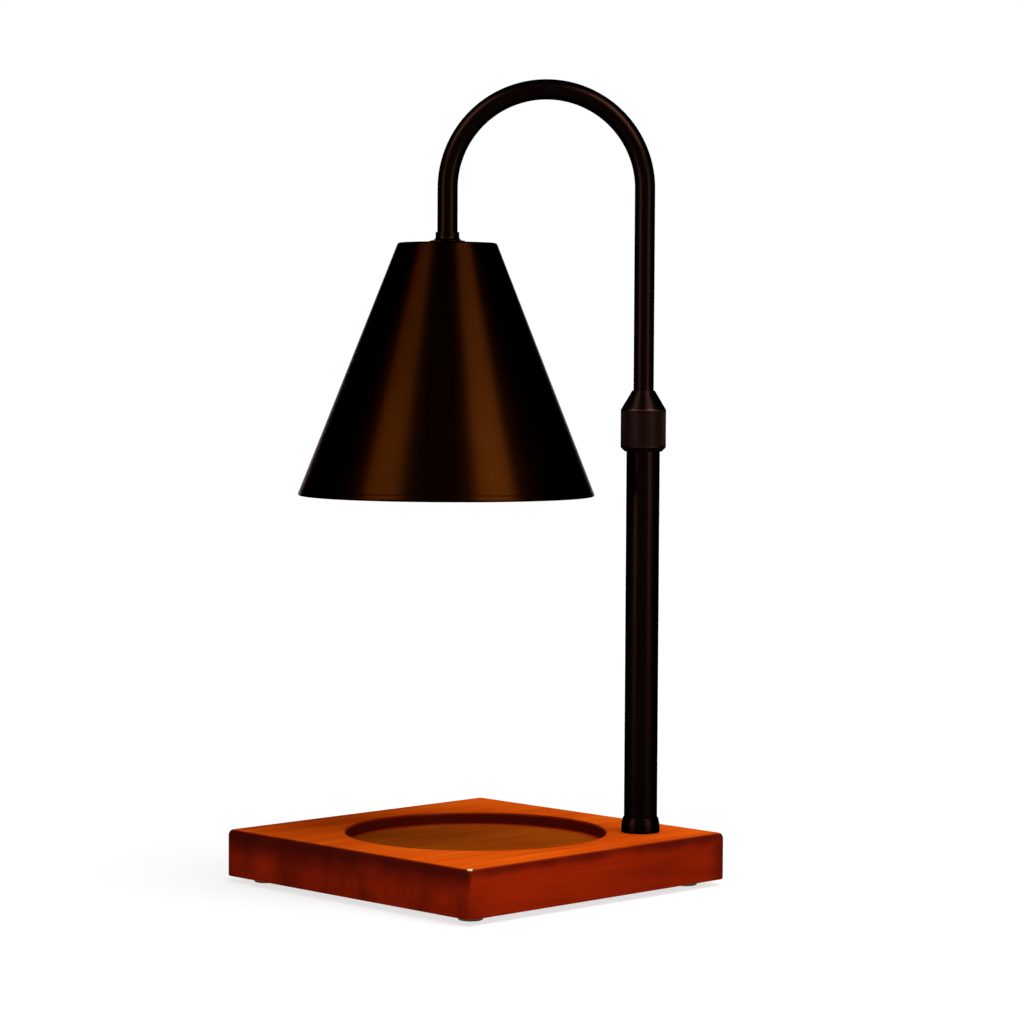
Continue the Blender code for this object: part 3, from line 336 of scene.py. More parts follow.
# %% Wood
def stained_wood():
    """Red-brown stain and a thin lacquer over fine grain, with painted light and shade."""
    wood = Finish("stained_wood")
    along = wood.mapped(wood.place, turn=math.pi / 4)
    side, end_face, darker_edges, sunk, wall, seam, highlight_spot = stain_masks(wood, along)
    drift = wood.noise(along, 11, 2)
    fibres = wood.noise(wood.mapped(along, (700, 20, 700)), 1, 4, 0.6)
    bands = wood.noise(wood.mapped(along, (110, 6, 110)), 1, 3, 0.55)
    pores = wood.rise(wood.noise(wood.mapped(along, (2100, 70, 2100)), 1, 2), 0.60, 0.74)
    tone = bands * 0.5 + fibres * 0.4 + (drift - 0.5) * 0.5 + 0.05
    # Painted light and shade: lit tones on the top, shaded tones on the sides.
    lit_top_colour = wood.node("ShaderNodeValToRGB", {"stops": LIT_TOP_TONES}, {"Fac": tone})
    shaded_side_colour = wood.node("ShaderNodeValToRGB", {"stops": SHADED_SIDE_TONES}, {"Fac": tone})
    colour = wood.mix(side, lit_top_colour, shaded_side_colour)
    blotches = wood.rise(wood.noise(wood.mapped(along, (60, 60, 26)), 1, 3), 0.35, 0.68)
    colour = wood.mix(end_face * blotches * 0.75, colour, BLOTCH)
    # Painted shade on the recess floor.
    colour = wood.mix(sunk, colour, wood.mix(1.0, colour, RECESS_SHADE, "MULTIPLY"))
    # Painted bounce light at the foot of the recess wall.
    colour = wood.mix(seam * 0.8, colour, SEAM_BOUNCE_LIGHT)
    # Painted shade on the recess wall.
    colour = wood.mix(wall * 0.9, colour, WALL_SHADE)
    # Darker along the edges and towards the upright corners.
    colour = wood.mix(darker_edges * 0.9, colour, EDGE_DARKENING)
    colour = wood.mix(pores * 0.3, colour, PORE)
    # Painted highlight on the front corner's point.
    colour = wood.mix(highlight_spot, colour, TIP_HIGHLIGHT)
    return wood.shade(
        base_color=colour,
        roughness=0.40 + fibres * 0.12 + sunk * 0.15,
        specular_ior_level=0.0,
        coat_weight=side * (1 - sunk) * 0.015,
        coat_roughness=0.2,
        normal=wood.bump(fibres * 0.6 - pores * 0.4, 0.00012, 0.5),
    )


WOOD = stained_wood()
print("wood nodes:", len(WOOD.node_tree.nodes))

# %% [markdown]
# ## Bronzed and blackened metal
#
# The shade, the tubes and the collar are steel under a dark, slightly brown lacquer. What
# one sees of them is mostly what they mirror, softly: almost black, with warm bands where
# the lights stand. So their base colour, which on a metal is its mirror colour, is very
# dark and brown. The shade was spun on a lathe, which leaves fine rings, and the tubes were
# drawn, which leaves fine lines along them.

# %% Dark metals
PRIMER = (0.060, 0.036, 0.022)
EDGE_TINT = (0.08, 0.05, 0.035)
MATT_GAIN = 1.3


def dark_metal(name, colour, roughness, axis_x, rings=0.0, lines=0.0, matt_below=0.0,
               cone=None):
    """Dark lacquer over metal, with turning rings or drawn lines about an upright axis.

    Below one height it can be matt, with a painted highlight along that edge. On a cone a painted
    light makes it lighter towards the rim, and its inner face is a dull, paler primer.
    """
    metal = Finish(name)
    x, y, z = metal.split(metal.mapped(metal.place, shift=(-axis_x, 0, 0)))
    out = metal.node("ShaderNodeVectorMath", {"operation": "NORMALIZE"},
                     {0: metal.joined(x, y, 0.0)})
    u, v, _ = metal.split(out)
    ring_marks = metal.noise(metal.joined(u * 0.8, v * 0.8, z * 2600), 1, 2)
    line_marks = metal.noise(metal.joined(u * 60, v * 60, z * 9), 1, 3)
    clouds = metal.noise(metal.place, 38, 3)
    specks = metal.noise(metal.place, 900, 2)
    marks = ring_marks * rings + line_marks * lines
    matt = metal.rise(z, matt_below + 0.0002, matt_below - 0.0002)
    from_edge = z - matt_below
    # Painted highlight: a bright line along the upper edge of the matt part.
    shoulder_highlight = metal.rise(from_edge.math("ABSOLUTE", from_edge), 0.0006, 0.0002) * clouds
    level = (clouds * 0.5 + specks * 0.3 + 0.6) * (matt * MATT_GAIN + 1) * (shoulder_highlight * 4 + 1)
    roughness = roughness + matt * 0.2 + (marks - (rings + lines) / 2) * 0.10
    inner = 0.0
    if cone:
        low, high, wall_radius, narrowing = cone
        # Painted light: the mirror colour is darker towards the top and lighter towards the rim.
        level = level * (1 - metal.rise(z, low, high) * 0.5)
        reach = x.math("SQRT", x * x + y * y) + (z - low) * narrowing
        inner = metal.rise(reach, wall_radius, wall_radius - 0.0002)
        inner = inner * metal.rise(z, high - 0.0001, high - 0.0006)
        roughness = roughness + inner * 0.3
    colour = metal.mix(1.0, colour, metal.joined(level, level, level), "MULTIPLY")
    return metal.shade(
        base_color=metal.mix(inner, colour, PRIMER),
        metallic=1.0,
        roughness=roughness,
        specular_tint=EDGE_TINT,
        normal=metal.bump(marks + specks * 0.25, 0.00002, 0.6),
    )


shade_low, shade_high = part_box("shade")
shade_x = (shade_low.x + shade_high.x) / 2
collar_low, collar_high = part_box("clamp_collar")
COLLAR_CONE_HEIGHT = 0.008
shoulder = collar_high.z - COLLAR_CONE_HEIGHT
SHADE_TOP_RADIUS = 0.0207
SHADE_WALL = 0.0008
rim_radius = (shade_high.x - shade_low.x) / 2
lean = (rim_radius - SHADE_TOP_RADIUS) / (shade_high.z - shade_low.z)
mid_wall = rim_radius - SHADE_WALL * math.hypot(1, lean) / 2
BRONZE = dark_metal("bronzed_steel", (0.0024, 0.00054, 0.00005), 0.23, shade_x, 1.0, 0.6,
                    cone=(shade_low.z, shade_high.z, mid_wall, lean))
BLACK = dark_metal("blackened_tube", (0.0024, 0.00095, 0.00065), 0.27, post_x, lines=1.0)
COLLAR = dark_metal("blackened_collar", (0.0024, 0.00100, 0.00080), 0.28, post_x, 1.0,
                    matt_below=shoulder)
print("dark metals:", BRONZE.name, BLACK.name, COLLAR.name)

# %% [markdown]
# ## Finishes of the inner parts
#
# Zinc plate, brass, nylon, rubber, ceramic, glass and sleeving show from below and from
# behind. Each is a colour with slow clouds and fine specks, a roughness that wanders a
# little and a shallow relief. One function makes them all, because they differ only in
# numbers.

# %% Plain stock
def stock(name, colour, roughness, metallic=0.0, grain=350.0, depth=0.00003, spread=0.12,
          **more):
    """A finish of one stock: clouds in its colour, specks in its gloss and a fine relief."""
    finish = Finish(name)
    clouds = finish.noise(finish.place, grain / 12, 3)
    specks = finish.noise(finish.place, grain, 3, 0.6)
    tone = clouds * 0.6 + specks * 0.4
    darker = tuple(part * (1 - spread) for part in colour)
    brighter = tuple(part * (1 + spread) for part in colour)
    return finish.shade(
        base_color=finish.mix(tone, darker, brighter),
        metallic=metallic,
        roughness=roughness + (specks - 0.5) * 0.12,
        normal=finish.bump(specks, depth, 0.5),
        **more,
    )


RUBBER = stock("moulded_rubber", (0.016, 0.015, 0.015), 0.75, depth=0.00005)
ZINC = stock("zinc_plate", (0.52, 0.53, 0.52), 0.34, 1.0, spread=0.08)
BRASS = stock("turned_brass", (0.70, 0.47, 0.19), 0.30, 1.0)
NYLON = stock("natural_nylon", (0.72, 0.69, 0.62), 0.48, grain=250)
CERAMIC = stock("unglazed_ceramic", (0.78, 0.76, 0.70), 0.55, grain=800, depth=0.00006)
DARK_SLEEVE = stock("dark_sleeve", (0.020, 0.019, 0.018), 0.55, grain=1500)
PALE_SLEEVE = stock("pale_sleeve", (0.66, 0.64, 0.58), 0.60, grain=1500)
SILVERING = stock("silvered_glass", (0.80, 0.78, 0.73), 0.10, 1.0, spread=0.04)
print("finishes so far:", len(bpy.data.materials))

# %% [markdown]
# ## Glowing glass
#
# The lamp is lit. The light of the small capsule spreads in the pressed front glass, so the
# glass itself glows, whitest in the middle and amber towards its rim. Real glass with a
# lamp behind it would render slowly and full of specks, so the emission colour carries the
# glow, from the distance to the bulb's axis.

# %% Glow
GLOW_STRENGTH = 1.0
GLOW_TONES = ((0.0, (1.0, 0.82, 0.50)), (0.55, (1.0, 0.62, 0.24)), (1.0, (0.85, 0.36, 0.08)))
VALLEY_GLOW = (0.62, 0.27, 0.06)
lens_low, lens_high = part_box("bulb_lens")
lens_radius = (lens_high.x - lens_low.x) / 2


def glowing_glass(name, strength):
    """Frosted glass that glows white in the middle and amber at its rim."""
    glass = Finish(name)
    x, y, z = glass.split(glass.mapped(glass.place, shift=(-shade_x, 0, 0)))
    out = x.math("SQRT", x * x + y * y) / lens_radius
    frost = glass.noise(glass.place, 900, 3)
    glow = glass.node("ShaderNodeValToRGB", {"stops": GLOW_TONES},
                      {"Fac": out + (frost - 0.5) * 0.1})
    valley = glass.rise(z, lens_low.z + 0.0001, lens_low.z + 0.0004)
    glow = glass.mix(valley * 0.6, glow, VALLEY_GLOW)
    return glass.shade(
        base_color=glass.mix(frost, (0.86, 0.78, 0.62), (0.95, 0.90, 0.78)),
        roughness=0.22 + frost * 0.1,
        emission_color=glow,
        emission_strength=strength,
        normal=glass.bump(frost, 0.00004, 0.5),
    )


LENS_GLASS = glowing_glass("front_glass", GLOW_STRENGTH)
CAPSULE_GLASS = glowing_glass("capsule_glass", 2 * GLOW_STRENGTH)
print("lens radius:", round(lens_radius, 4))

# %% [markdown]
# ## Turning
#
# Most pieces are turned: an outline spun about an axis. A Screw modifier would do it, but
# rings of points built in mesh code keep the seam closed and let a solid end in a flat cap.
# Corners get small fillets from a function, as they do on a lathe, and weighted normals
# keep the flats beside the fillets flat.

# %% Outlines and turned pieces
FILLET_STEPS = 7
ROUND_STEPS = 96
FINE_ROUND_STEPS = 192
SMOOTH_ANGLE = math.radians(32)


def filleted(corners, closed=True):
    """Points of an outline of corners (radius, height, fillet)."""
    points = []
    last = len(corners) - 1
    for index, (x, z, fillet) in enumerate(corners):
        corner = Vector((x, z))
        if not fillet or (not closed and index in (0, last)):
            points.append(corner)
            continue
        before = Vector(corners[index - 1][:2]) - corner
        after = Vector(corners[(index + 1) % len(corners)][:2]) - corner
        half = before.angle(after) / 2
        reach = min(fillet / math.tan(half), before.length / 2, after.length / 2)
        before.normalize()
        after.normalize()
        centre = corner + (before + after).normalized() * reach / math.cos(half)
        start = corner + before * reach - centre
        end = corner + after * reach - centre
        for step in range(FILLET_STEPS + 1):
            spoke = start.normalized().slerp(end.normalized(), step / FILLET_STEPS)
            points.append(centre + spoke * start.length)
    return points


def circle(radius, steps, height, centre=(0, 0)):
    """Points round an upright axis at one height."""
    angles = [math.tau * step / steps for step in range(steps)]
    x, y = centre
    return [(x + radius * math.cos(a), y + radius * math.sin(a), height) for a in angles]


def skinned(bm, rings, closed):
    """Skin rings of equally many points, joined end to start or capped at both ends."""
    loops = [[bm.verts.new(point) for point in ring] for ring in rings]
    pairs = list(zip(loops, loops[1:]))
    if closed:
        pairs.append((loops[-1], loops[0]))
    else:
        bm.faces.new(loops[0])
        bm.faces.new(loops[-1])
    for low, high in pairs:
        for index in range(len(low)):
            following = (index + 1) % len(low)
            bm.faces.new((low[index], low[following], high[following], high[index]))


def turned_rings(corners, closed, steps, centre):
    """The rings of a turned outline. A solid's points on the axis are left to its caps."""
    outline = filleted(corners, closed)
    return [circle(x, steps, z, centre) for x, z in outline if x > 0]


def finished(name, bm, material, smooth=True):
    """Make an object of the mesh, with its faces outward and its edges soft or sharp."""
    bmesh.ops.recalc_face_normals(bm, faces=bm.faces)
    mesh = bpy.data.meshes.new(name)
    bm.to_mesh(mesh)
    bm.free()
    mesh.materials.append(material)
    piece = bpy.data.objects.new(name, mesh)
    bpy.context.scene.collection.objects.link(piece)
    if smooth:
        mesh.shade_smooth()
        mesh.set_sharp_from_angle(angle=SMOOTH_ANGLE)
        piece.modifiers.new("flats", "WEIGHTED_NORMAL").keep_sharp = True
        applied(piece)
    return piece


def applied(piece):
    """Replace an object's mesh with what its modifiers make of it, and drop them."""
    graph = bpy.context.evaluated_depsgraph_get()
    mesh = bpy.data.meshes.new_from_object(piece.evaluated_get(graph), depsgraph=graph)
    piece.modifiers.clear()
    piece.data = mesh
    mesh.name = piece.name
    return piece


def turned(name, corners, material, centre, closed=True, steps=ROUND_STEPS):
    """A turned piece on an upright axis."""
    bm = bmesh.new()
    skinned(bm, turned_rings(corners, closed, steps, centre), closed)
    return finished(name, bm, material)


def dress(piece, body, slot, *nodes):
    """Let a finished piece ride on its body and stand for its nodes."""
    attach(piece, body)
    if nodes:
        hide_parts(*nodes)
    print(f"{piece.name}: {len(piece.data.polygons)} faces on {body}")
    return piece


print("fillet steps:", FILLET_STEPS, "round steps:", ROUND_STEPS)

# %% [markdown]
# ## The wooden base
#
# A board 20 mm thick with softly rounded upper edges and small rounded corners. The round
# recess has a rounded rim and floor edge, and a counterbore under the post takes its nut.
# The board is skinned over rings of a rounded square and then bored with Boolean cutters,
# as a router and a drill would do it, so every hole cuts a true edge.

# %% Base board
BOTTOM_FILLET = 0.001
RECESS_FLOOR_FILLET = 0.002
OVERRUN = 0.002
CORNER_STEPS = 14
LEAST_CORNER_RADIUS = 0.0003


def rounded_square(side, corner, inset, height):
    """Points round a square with rounded corners, drawn in by the inset, set cornerwise."""
    radius = max(corner - inset, LEAST_CORNER_RADIUS)
    reach = side / 2 - inset - radius
    quarter_turn = Matrix.Rotation(math.pi / 4, 3, "Z")
    points = []
    for quarter, (x, y) in enumerate(((1, 1), (-1, 1), (-1, -1), (1, -1))):
        for step in range(CORNER_STEPS + 1):
            angle = (quarter + step / CORNER_STEPS) * math.pi / 2
            along = x * reach + radius * math.cos(angle)
            across = y * reach + radius * math.sin(angle)
            points.append(quarter_turn @ Vector((along, across, height)))
    return points


def board_rings():
    """Rings up the board: a rounded lower edge, a plain side and a rounded upper edge."""
    levels = []
    for step in range(FILLET_STEPS + 1):
        angle = math.pi / 2 * step / FILLET_STEPS
        inset = BOTTOM_FILLET * (1 - math.sin(angle))
        levels.append((inset, base_low.z + BOTTOM_FILLET * (1 - math.cos(angle))))
    for step in range(FILLET_STEPS + 1):
        angle = math.pi / 2 * step / FILLET_STEPS
        inset = TOP_FILLET * (1 - math.cos(angle))
        levels.append((inset, base_high.z - TOP_FILLET * (1 - math.sin(angle))))
    return [rounded_square(base_side, BASE_CORNER_RADIUS, *level) for level in levels]


def cut_away(piece, name, rings):
    """Take a closed shape, skinned over rings, away from a piece."""
    bm = bmesh.new()
    skinned(bm, rings, False)
    tool = finished(name, bm, WOOD, smooth=False)
    modifier = piece.modifiers.new(name, "BOOLEAN")
    modifier.operation = "DIFFERENCE"
    modifier.object = tool
    applied(piece)
    bpy.data.objects.remove(tool)


def recess_rings():
    """The recess: a flat floor, a rounded floor edge, a plain wall and a rounded rim."""
    lip = recess_radius + RECESS_RIM_FILLET
    outline = filleted((
        (0, recess_floor, 0),
        (recess_radius, recess_floor, RECESS_FLOOR_FILLET),
        (recess_radius, base_high.z - RECESS_RIM_FILLET, 0),
    ), closed=False)[1:]
    for step in range(1, FILLET_STEPS + 1):
        angle = math.pi / 2 * step / FILLET_STEPS
        radius = lip - RECESS_RIM_FILLET * math.cos(angle)
        outline.append((radius, base_high.z - RECESS_RIM_FILLET * (1 - math.sin(angle))))
    outline.append((lip, base_high.z + OVERRUN))
    return [circle(radius, FINE_ROUND_STEPS, height) for radius, height in outline]


bm = bmesh.new()
skinned(bm, board_rings(), False)
base = finished("wooden_base", bm, WOOD, smooth=False)
cut_away(base, "recess_cutter", recess_rings())
print("board with its recess:", len(base.data.polygons), "faces")

# %% [markdown]
# Under the post the board has a counterbore and a through hole, and a hole for the cord
# runs from the back right side into the counterbore. Their sizes come from the washer, the
# stud and the grommet that sit in them.

# %% Holes in the board
CLEARANCE = 0.0003
COUNTERBORE_ROOM = 0.0022
washer_low, washer_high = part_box("base_washer")
stud_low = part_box("post_stud")[0]
grommet_low, grommet_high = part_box("cord_grommet")
post_axis = (post_x, 0)
counterbore_radius = (washer_high.x - washer_low.x) / 2 + COUNTERBORE_ROOM
counterbore_top = washer_high.z + CLEARANCE
STUD_HOLE_RADIUS = 0.0053
OUTLET_RADIUS = 0.00375
outlet_direction = Vector((1, 1, 0)).normalized()
outlet_z = (grommet_low.z + grommet_high.z) / 2
side_point = Vector((post_x, 0, outlet_z))
side_point += outlet_direction * (base_side / 2 - side_point.dot(outlet_direction))


def outlet_rings(depth):
    """Two rings of the cord's hole, square to the board's side."""
    sideways = outlet_direction.cross(Vector((0, 0, 1)))
    rings = []
    for reach in (-depth, OVERRUN):
        centre = side_point + outlet_direction * reach
        ring = circle(OUTLET_RADIUS, ROUND_STEPS, 0)
        rings.append([centre + sideways * x + Vector((0, 0, y)) for x, y, _ in ring])
    return rings


cut_away(base, "counterbore_cutter", [
    circle(counterbore_radius, ROUND_STEPS, base_low.z - OVERRUN, post_axis),
    circle(counterbore_radius, ROUND_STEPS, counterbore_top, post_axis),
])
cut_away(base, "stud_cutter", [
    circle(STUD_HOLE_RADIUS, ROUND_STEPS, counterbore_top - OVERRUN, post_axis),
    circle(STUD_HOLE_RADIUS, ROUND_STEPS, base_high.z + OVERRUN, post_axis),
])
to_axis = (side_point - Vector((post_x, 0, outlet_z))).length
cut_away(base, "outlet_cutter", outlet_rings(to_axis))
base.data.shade_smooth()
base.data.set_sharp_from_angle(angle=SMOOTH_ANGLE)
base.modifiers.new("flats", "WEIGHTED_NORMAL").keep_sharp = True
dress(applied(base), "stand", "red_wood", "wood_base")

# %% [markdown]
# ## Rubber feet and grommet
#
# Four small turned rubber pads carry the lamp, set so far in from the corners that hardly
# any of them shows. Each has a soft lower edge and a shallow ring moulded into its sole, so
# that it grips. The cord's outlet is lined with a rubber grommet.

# %% Feet and grommet
PAD_EDGE_FILLET = 0.0007
SOLE_RING_OUTER = 0.0040
SOLE_RING_INNER = 0.0030
SOLE_RING_DEPTH = 0.0004

for place in ("front", "back", "left", "right"):
    node = "foot_pad_" + place
    pad_low, pad_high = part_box(node)
    centre = ((pad_low.x + pad_high.x) / 2, (pad_low.y + pad_high.y) / 2)
    radius = (pad_high.x - pad_low.x) / 2
    corners = (
        (0, pad_low.z, 0),
        (SOLE_RING_INNER, pad_low.z, 0),
        (SOLE_RING_INNER, pad_low.z + SOLE_RING_DEPTH, 0),
        (SOLE_RING_OUTER, pad_low.z + SOLE_RING_DEPTH, 0),
        (SOLE_RING_OUTER, pad_low.z, 0),
        (radius, pad_low.z, PAD_EDGE_FILLET),
        (radius, pad_high.z, 0),
        (0, pad_high.z, 0),
    )
    pad = turned("rubber_foot_" + place, corners, RUBBER, centre, closed=False)
    dress(pad, "stand", "black_rubber", node)

# %% [markdown]
# The grommet lies on its side, so it is turned about the upright axis first, and its points
# are then swung onto the outlet's axis in the mesh itself. Its object never moves.

# %% Grommet
GROMMET_BORE = 0.00255
GROMMET_RADIUS = 0.00345
GROMMET_FLANGE_RADIUS = 0.00495
GROMMET_FLANGE = 0.0015
GROMMET_FILLET = 0.0006
grommet_reach = (grommet_high - grommet_low).xy.length
grommet_length = (grommet_reach - 2 * GROMMET_FLANGE_RADIUS) - GROMMET_FLANGE - CLEARANCE
corners = (
    (GROMMET_BORE, -grommet_length, 0),
    (GROMMET_RADIUS, -grommet_length, 0),
    (GROMMET_RADIUS, CLEARANCE, 0),
    (GROMMET_FLANGE_RADIUS, CLEARANCE, 0),
    (GROMMET_FLANGE_RADIUS, CLEARANCE + GROMMET_FLANGE, GROMMET_FILLET),
    (GROMMET_BORE, CLEARANCE + GROMMET_FLANGE, GROMMET_FILLET),
)
grommet = turned("outlet_grommet", corners, RUBBER, (0, 0))
swing = Vector((0, 0, 1)).rotation_difference(outlet_direction).to_matrix().to_4x4()
grommet.data.transform(Matrix.Translation(side_point) @ swing)
dress(grommet, "stand", "black_rubber", "cord_grommet")

# %% [markdown]
# ## The post and its foot
#
# The lower tube is plain. At its foot sits a short ring: a low band that narrows to a thin
# upper lip, so that it seems to grow out of the tube.

# %% Post
TUBE_LIP = 0.0002
POST_BORE = 0.006
tube_low, tube_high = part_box("post_tube")
post_radius = (tube_high.x - tube_low.x) / 2
post_corners = (
    (POST_BORE, tube_low.z, 0),
    (post_radius, tube_low.z, 0),
    (post_radius, tube_high.z, TUBE_LIP),
    (POST_BORE, tube_high.z, TUBE_LIP),
)
post = turned("lower_tube", post_corners, BLACK, post_axis)
dress(post, "stand", "black_metal", "post_tube")

# %% Foot ring
FOOT_BAND = 0.0034
foot_radius = (foot_high.x - foot_low.x) / 2
foot_bore = post_radius + CLEARANCE
foot_corners = (
    (foot_bore, foot_low.z, 0),
    (foot_radius, foot_low.z, 0.0003),
    (foot_radius - TUBE_LIP, foot_low.z + FOOT_BAND, 0.0012),
    (foot_bore + TUBE_LIP, foot_high.z - TUBE_LIP, 0.0006),
    (foot_bore, foot_high.z, 0),
)
foot = turned("flared_foot", foot_corners, BLACK, post_axis)
dress(foot, "stand", "black_metal", "post_foot_ring")

# %% [markdown]
# ## The knurled collar
#
# The collar screws down on a slit nylon ring and so clamps the tube. Its cylinder is
# knurled with fine upright ridges, so that fingers grip it. The body is turned. The ridges
# repeat, so they are one small bar that Geometry Nodes set round a circle.

# %% Geometry Nodes helpers
class Maker(Tree):
    """A Geometry Nodes tree with named inputs."""

    KINDS = {"length": "NodeSocketFloat", "count": "NodeSocketInt",
             "material": "NodeSocketMaterial"}

    def __init__(self, name, **inputs):
        data = bpy.data.node_groups.new(name, "GeometryNodeTree")
        super().__init__(data)
        self.sockets = {}
        for word, kind in inputs.items():
            socket = data.interface.new_socket(word, socket_type=self.KINDS[kind])
            self.sockets[word] = socket.identifier
        data.interface.new_socket("Geometry", in_out="OUTPUT", socket_type="NodeSocketGeometry")
        self.given = data.nodes.new("NodeGroupInput")

    def input(self, word):
        """One of the tree's own inputs."""
        return Wire(self, self.given.outputs[word])

    def close(self, geometry):
        """End the tree: make instances real, shade them smooth and set the material."""
        real = self.node("GeometryNodeRealizeInstances", {}, {"Geometry": geometry})
        soft = self.node("GeometryNodeSetShadeSmooth", {}, {"Geometry": real})
        done = self.node("GeometryNodeSetMaterial", {},
                         {"Geometry": soft, "Material": self.input("material")})
        self.node("NodeGroupOutput", {}, {"Geometry": done})
        return self

    def make(self, name, **values):
        """Run the tree and keep its result as a plain mesh at the origin."""
        mesh = bpy.data.meshes.new(name)
        piece = bpy.data.objects.new(name, mesh)
        bpy.context.scene.collection.objects.link(piece)
        modifier = piece.modifiers.new(self.data.name, "NODES")
        modifier.node_group = self.data
        for word, value in values.items():
            modifier[self.sockets[word]] = value
        return applied(piece)


def join(piece, *others):
    """Add other pieces' meshes to a piece's mesh, and remove them."""
    bm = bmesh.new()
    for item in (piece, *others):
        bm.from_mesh(item.data)
    bm.to_mesh(piece.data)
    bm.free()
    for item in others:
        bpy.data.objects.remove(item)
    return piece


def knurl_maker():
    """Upright bars round a circle, half sunk in the face that they stand on."""
    maker = Maker("knurl", count="count", radius="length", height="length", depth="length",
                  material="material")
    ring = maker.node("GeometryNodeMeshCircle", {},
                      {"Vertices": maker.input("count"), "Radius": maker.input("radius")})
    bar = maker.node("GeometryNodeMeshCylinder", {},
                     {"Vertices": 4, "Radius": maker.input("depth"),
                      "Depth": maker.input("height")})
    index = maker.node("GeometryNodeInputIndex")
    angle = index * math.tau / maker.input("count")
    turn_bar = maker.node("ShaderNodeCombineXYZ", {}, {"Z": angle})
    bars = maker.node("GeometryNodeInstanceOnPoints", {},
                      {"Points": ring, "Instance": bar, "Rotation": turn_bar})
    return maker.close(bars)


KNURL = knurl_maker()
print("knurl inputs:", ", ".join(KNURL.sockets))

# %% [markdown]
# The knurled band ends a little short of both chamfers. Its ridges rise to the collar's full
# radius, and the ground between them lies a quarter of a millimetre lower.

# %% Collar
KNURL_COUNT = 64
KNURL_DEPTH = 0.00026
KNURL_MARGIN = 0.0007
COLLAR_CHAMFER = 0.0017
COLLAR_LIP = 0.0002
ARM_CLEARANCE_RADIUS = 0.00455
SKIRT_HEIGHT = 0.0072
CHAMBER_RADIUS = 0.0065
CHAMBER_TOP = 0.0158
TAPER_HEIGHT = 0.0053
collar_radius = (collar_high.x - collar_low.x) / 2
band_low = collar_low.z + COLLAR_CHAMFER + KNURL_MARGIN
band_high = shoulder - KNURL_MARGIN
ground = collar_radius - KNURL_DEPTH
skirt_top = collar_low.z + SKIRT_HEIGHT
chamber_top = collar_low.z + CHAMBER_TOP
collar_corners = (
    (post_radius + CLEARANCE, collar_low.z, 0.0002),
    (collar_radius - COLLAR_CHAMFER, collar_low.z, 0.0003),
    (collar_radius, collar_low.z + COLLAR_CHAMFER, 0.0004),
    (collar_radius, band_low, 0.0001),
    (ground, band_low + KNURL_DEPTH, 0),
    (ground, band_high - KNURL_DEPTH, 0),
    (collar_radius, band_high, 0.0001),
    (collar_radius, shoulder, 0.0005),
    (ARM_CLEARANCE_RADIUS + COLLAR_LIP, collar_high.z, 0.0001),
    (ARM_CLEARANCE_RADIUS, collar_high.z, 0),
    (ARM_CLEARANCE_RADIUS, chamber_top + TAPER_HEIGHT, 0),
    (CHAMBER_RADIUS, chamber_top, 0),
    (CHAMBER_RADIUS, skirt_top, 0),
    (post_radius + CLEARANCE, skirt_top, 0),
)
collar = turned("knurled_collar", collar_corners, COLLAR, post_axis)
ridges = KNURL.make("ridges", count=KNURL_COUNT, radius=ground, height=band_high - band_low,
                    depth=KNURL_DEPTH, material=COLLAR)
ridges.data.transform(Matrix.Translation((post_x, 0, (band_low + band_high) / 2)))
ridges.data.shade_flat()
dress(join(collar, ridges), "collar", "collar_metal", "clamp_collar")

# %% [markdown]
# ## The hooked tube
#
# One tube is bent over a former: a long leg, a half circle and a short leg. Such a rule
# suits Geometry Nodes. A straight line is cut into many points, and one formula bends it:
# with s the length from the lower end, the bend's angle is (s - leg) / radius, held between
# zero and half a turn. The same tree makes the tube and the cord that runs in it.

# %% Hooked path in Geometry Nodes
def hook_maker():
    """A round bar along a leg, a half-circle arch and a short leg, in the XZ plane."""
    maker = Maker("hook", bottom="length", arch_height="length", arch_radius="length",
                  end_height="length", axis_x="length", radius="length", points="count",
                  sides="count", material="material")
    bottom, arch_height = maker.input("bottom"), maker.input("arch_height")
    arch_radius, end_height = maker.input("arch_radius"), maker.input("end_height")
    leg = arch_height - bottom
    bend = arch_radius * math.pi
    drop = arch_height - end_height
    line = maker.node("GeometryNodeCurvePrimitiveLine")
    cut = maker.node("GeometryNodeResampleCurve", {},
                     {"Curve": line, "Count": maker.input("points")})
    along = maker.node("GeometryNodeSplineParameter") * (leg + bend + drop)
    angle = (along - leg) / arch_radius
    angle = angle.math("MINIMUM", angle.math("MAXIMUM", angle, 0.0), math.pi)
    cosine = angle.math("COSINE", angle)
    sine = angle.math("SINE", angle)
    over = along - leg - bend
    x = maker.input("axis_x") - arch_radius * (1 - cosine)
    z = bottom + along.math("MINIMUM", along, leg) + arch_radius * sine
    z = z - over.math("MAXIMUM", over, 0.0)
    place_it = maker.node("ShaderNodeCombineXYZ", {}, {"X": x, "Z": z})
    path = maker.node("GeometryNodeSetPosition", {}, {"Geometry": cut, "Position": place_it})
    outline = maker.node("GeometryNodeCurvePrimitiveCircle", {},
                         {"Resolution": maker.input("sides"), "Radius": maker.input("radius")})
    bar = maker.node("GeometryNodeCurveToMesh", {},
                     {"Curve": path, "Profile Curve": outline, "Fill Caps": True})
    return maker.close(bar)


HOOK = hook_maker()
print("hook inputs:", ", ".join(HOOK.sockets))

# %% [markdown]
# The tube's wall comes from a second, thinner bar that is turned inside out and joined to
# the first at both ends, so the tube is open from end to end for its cord.

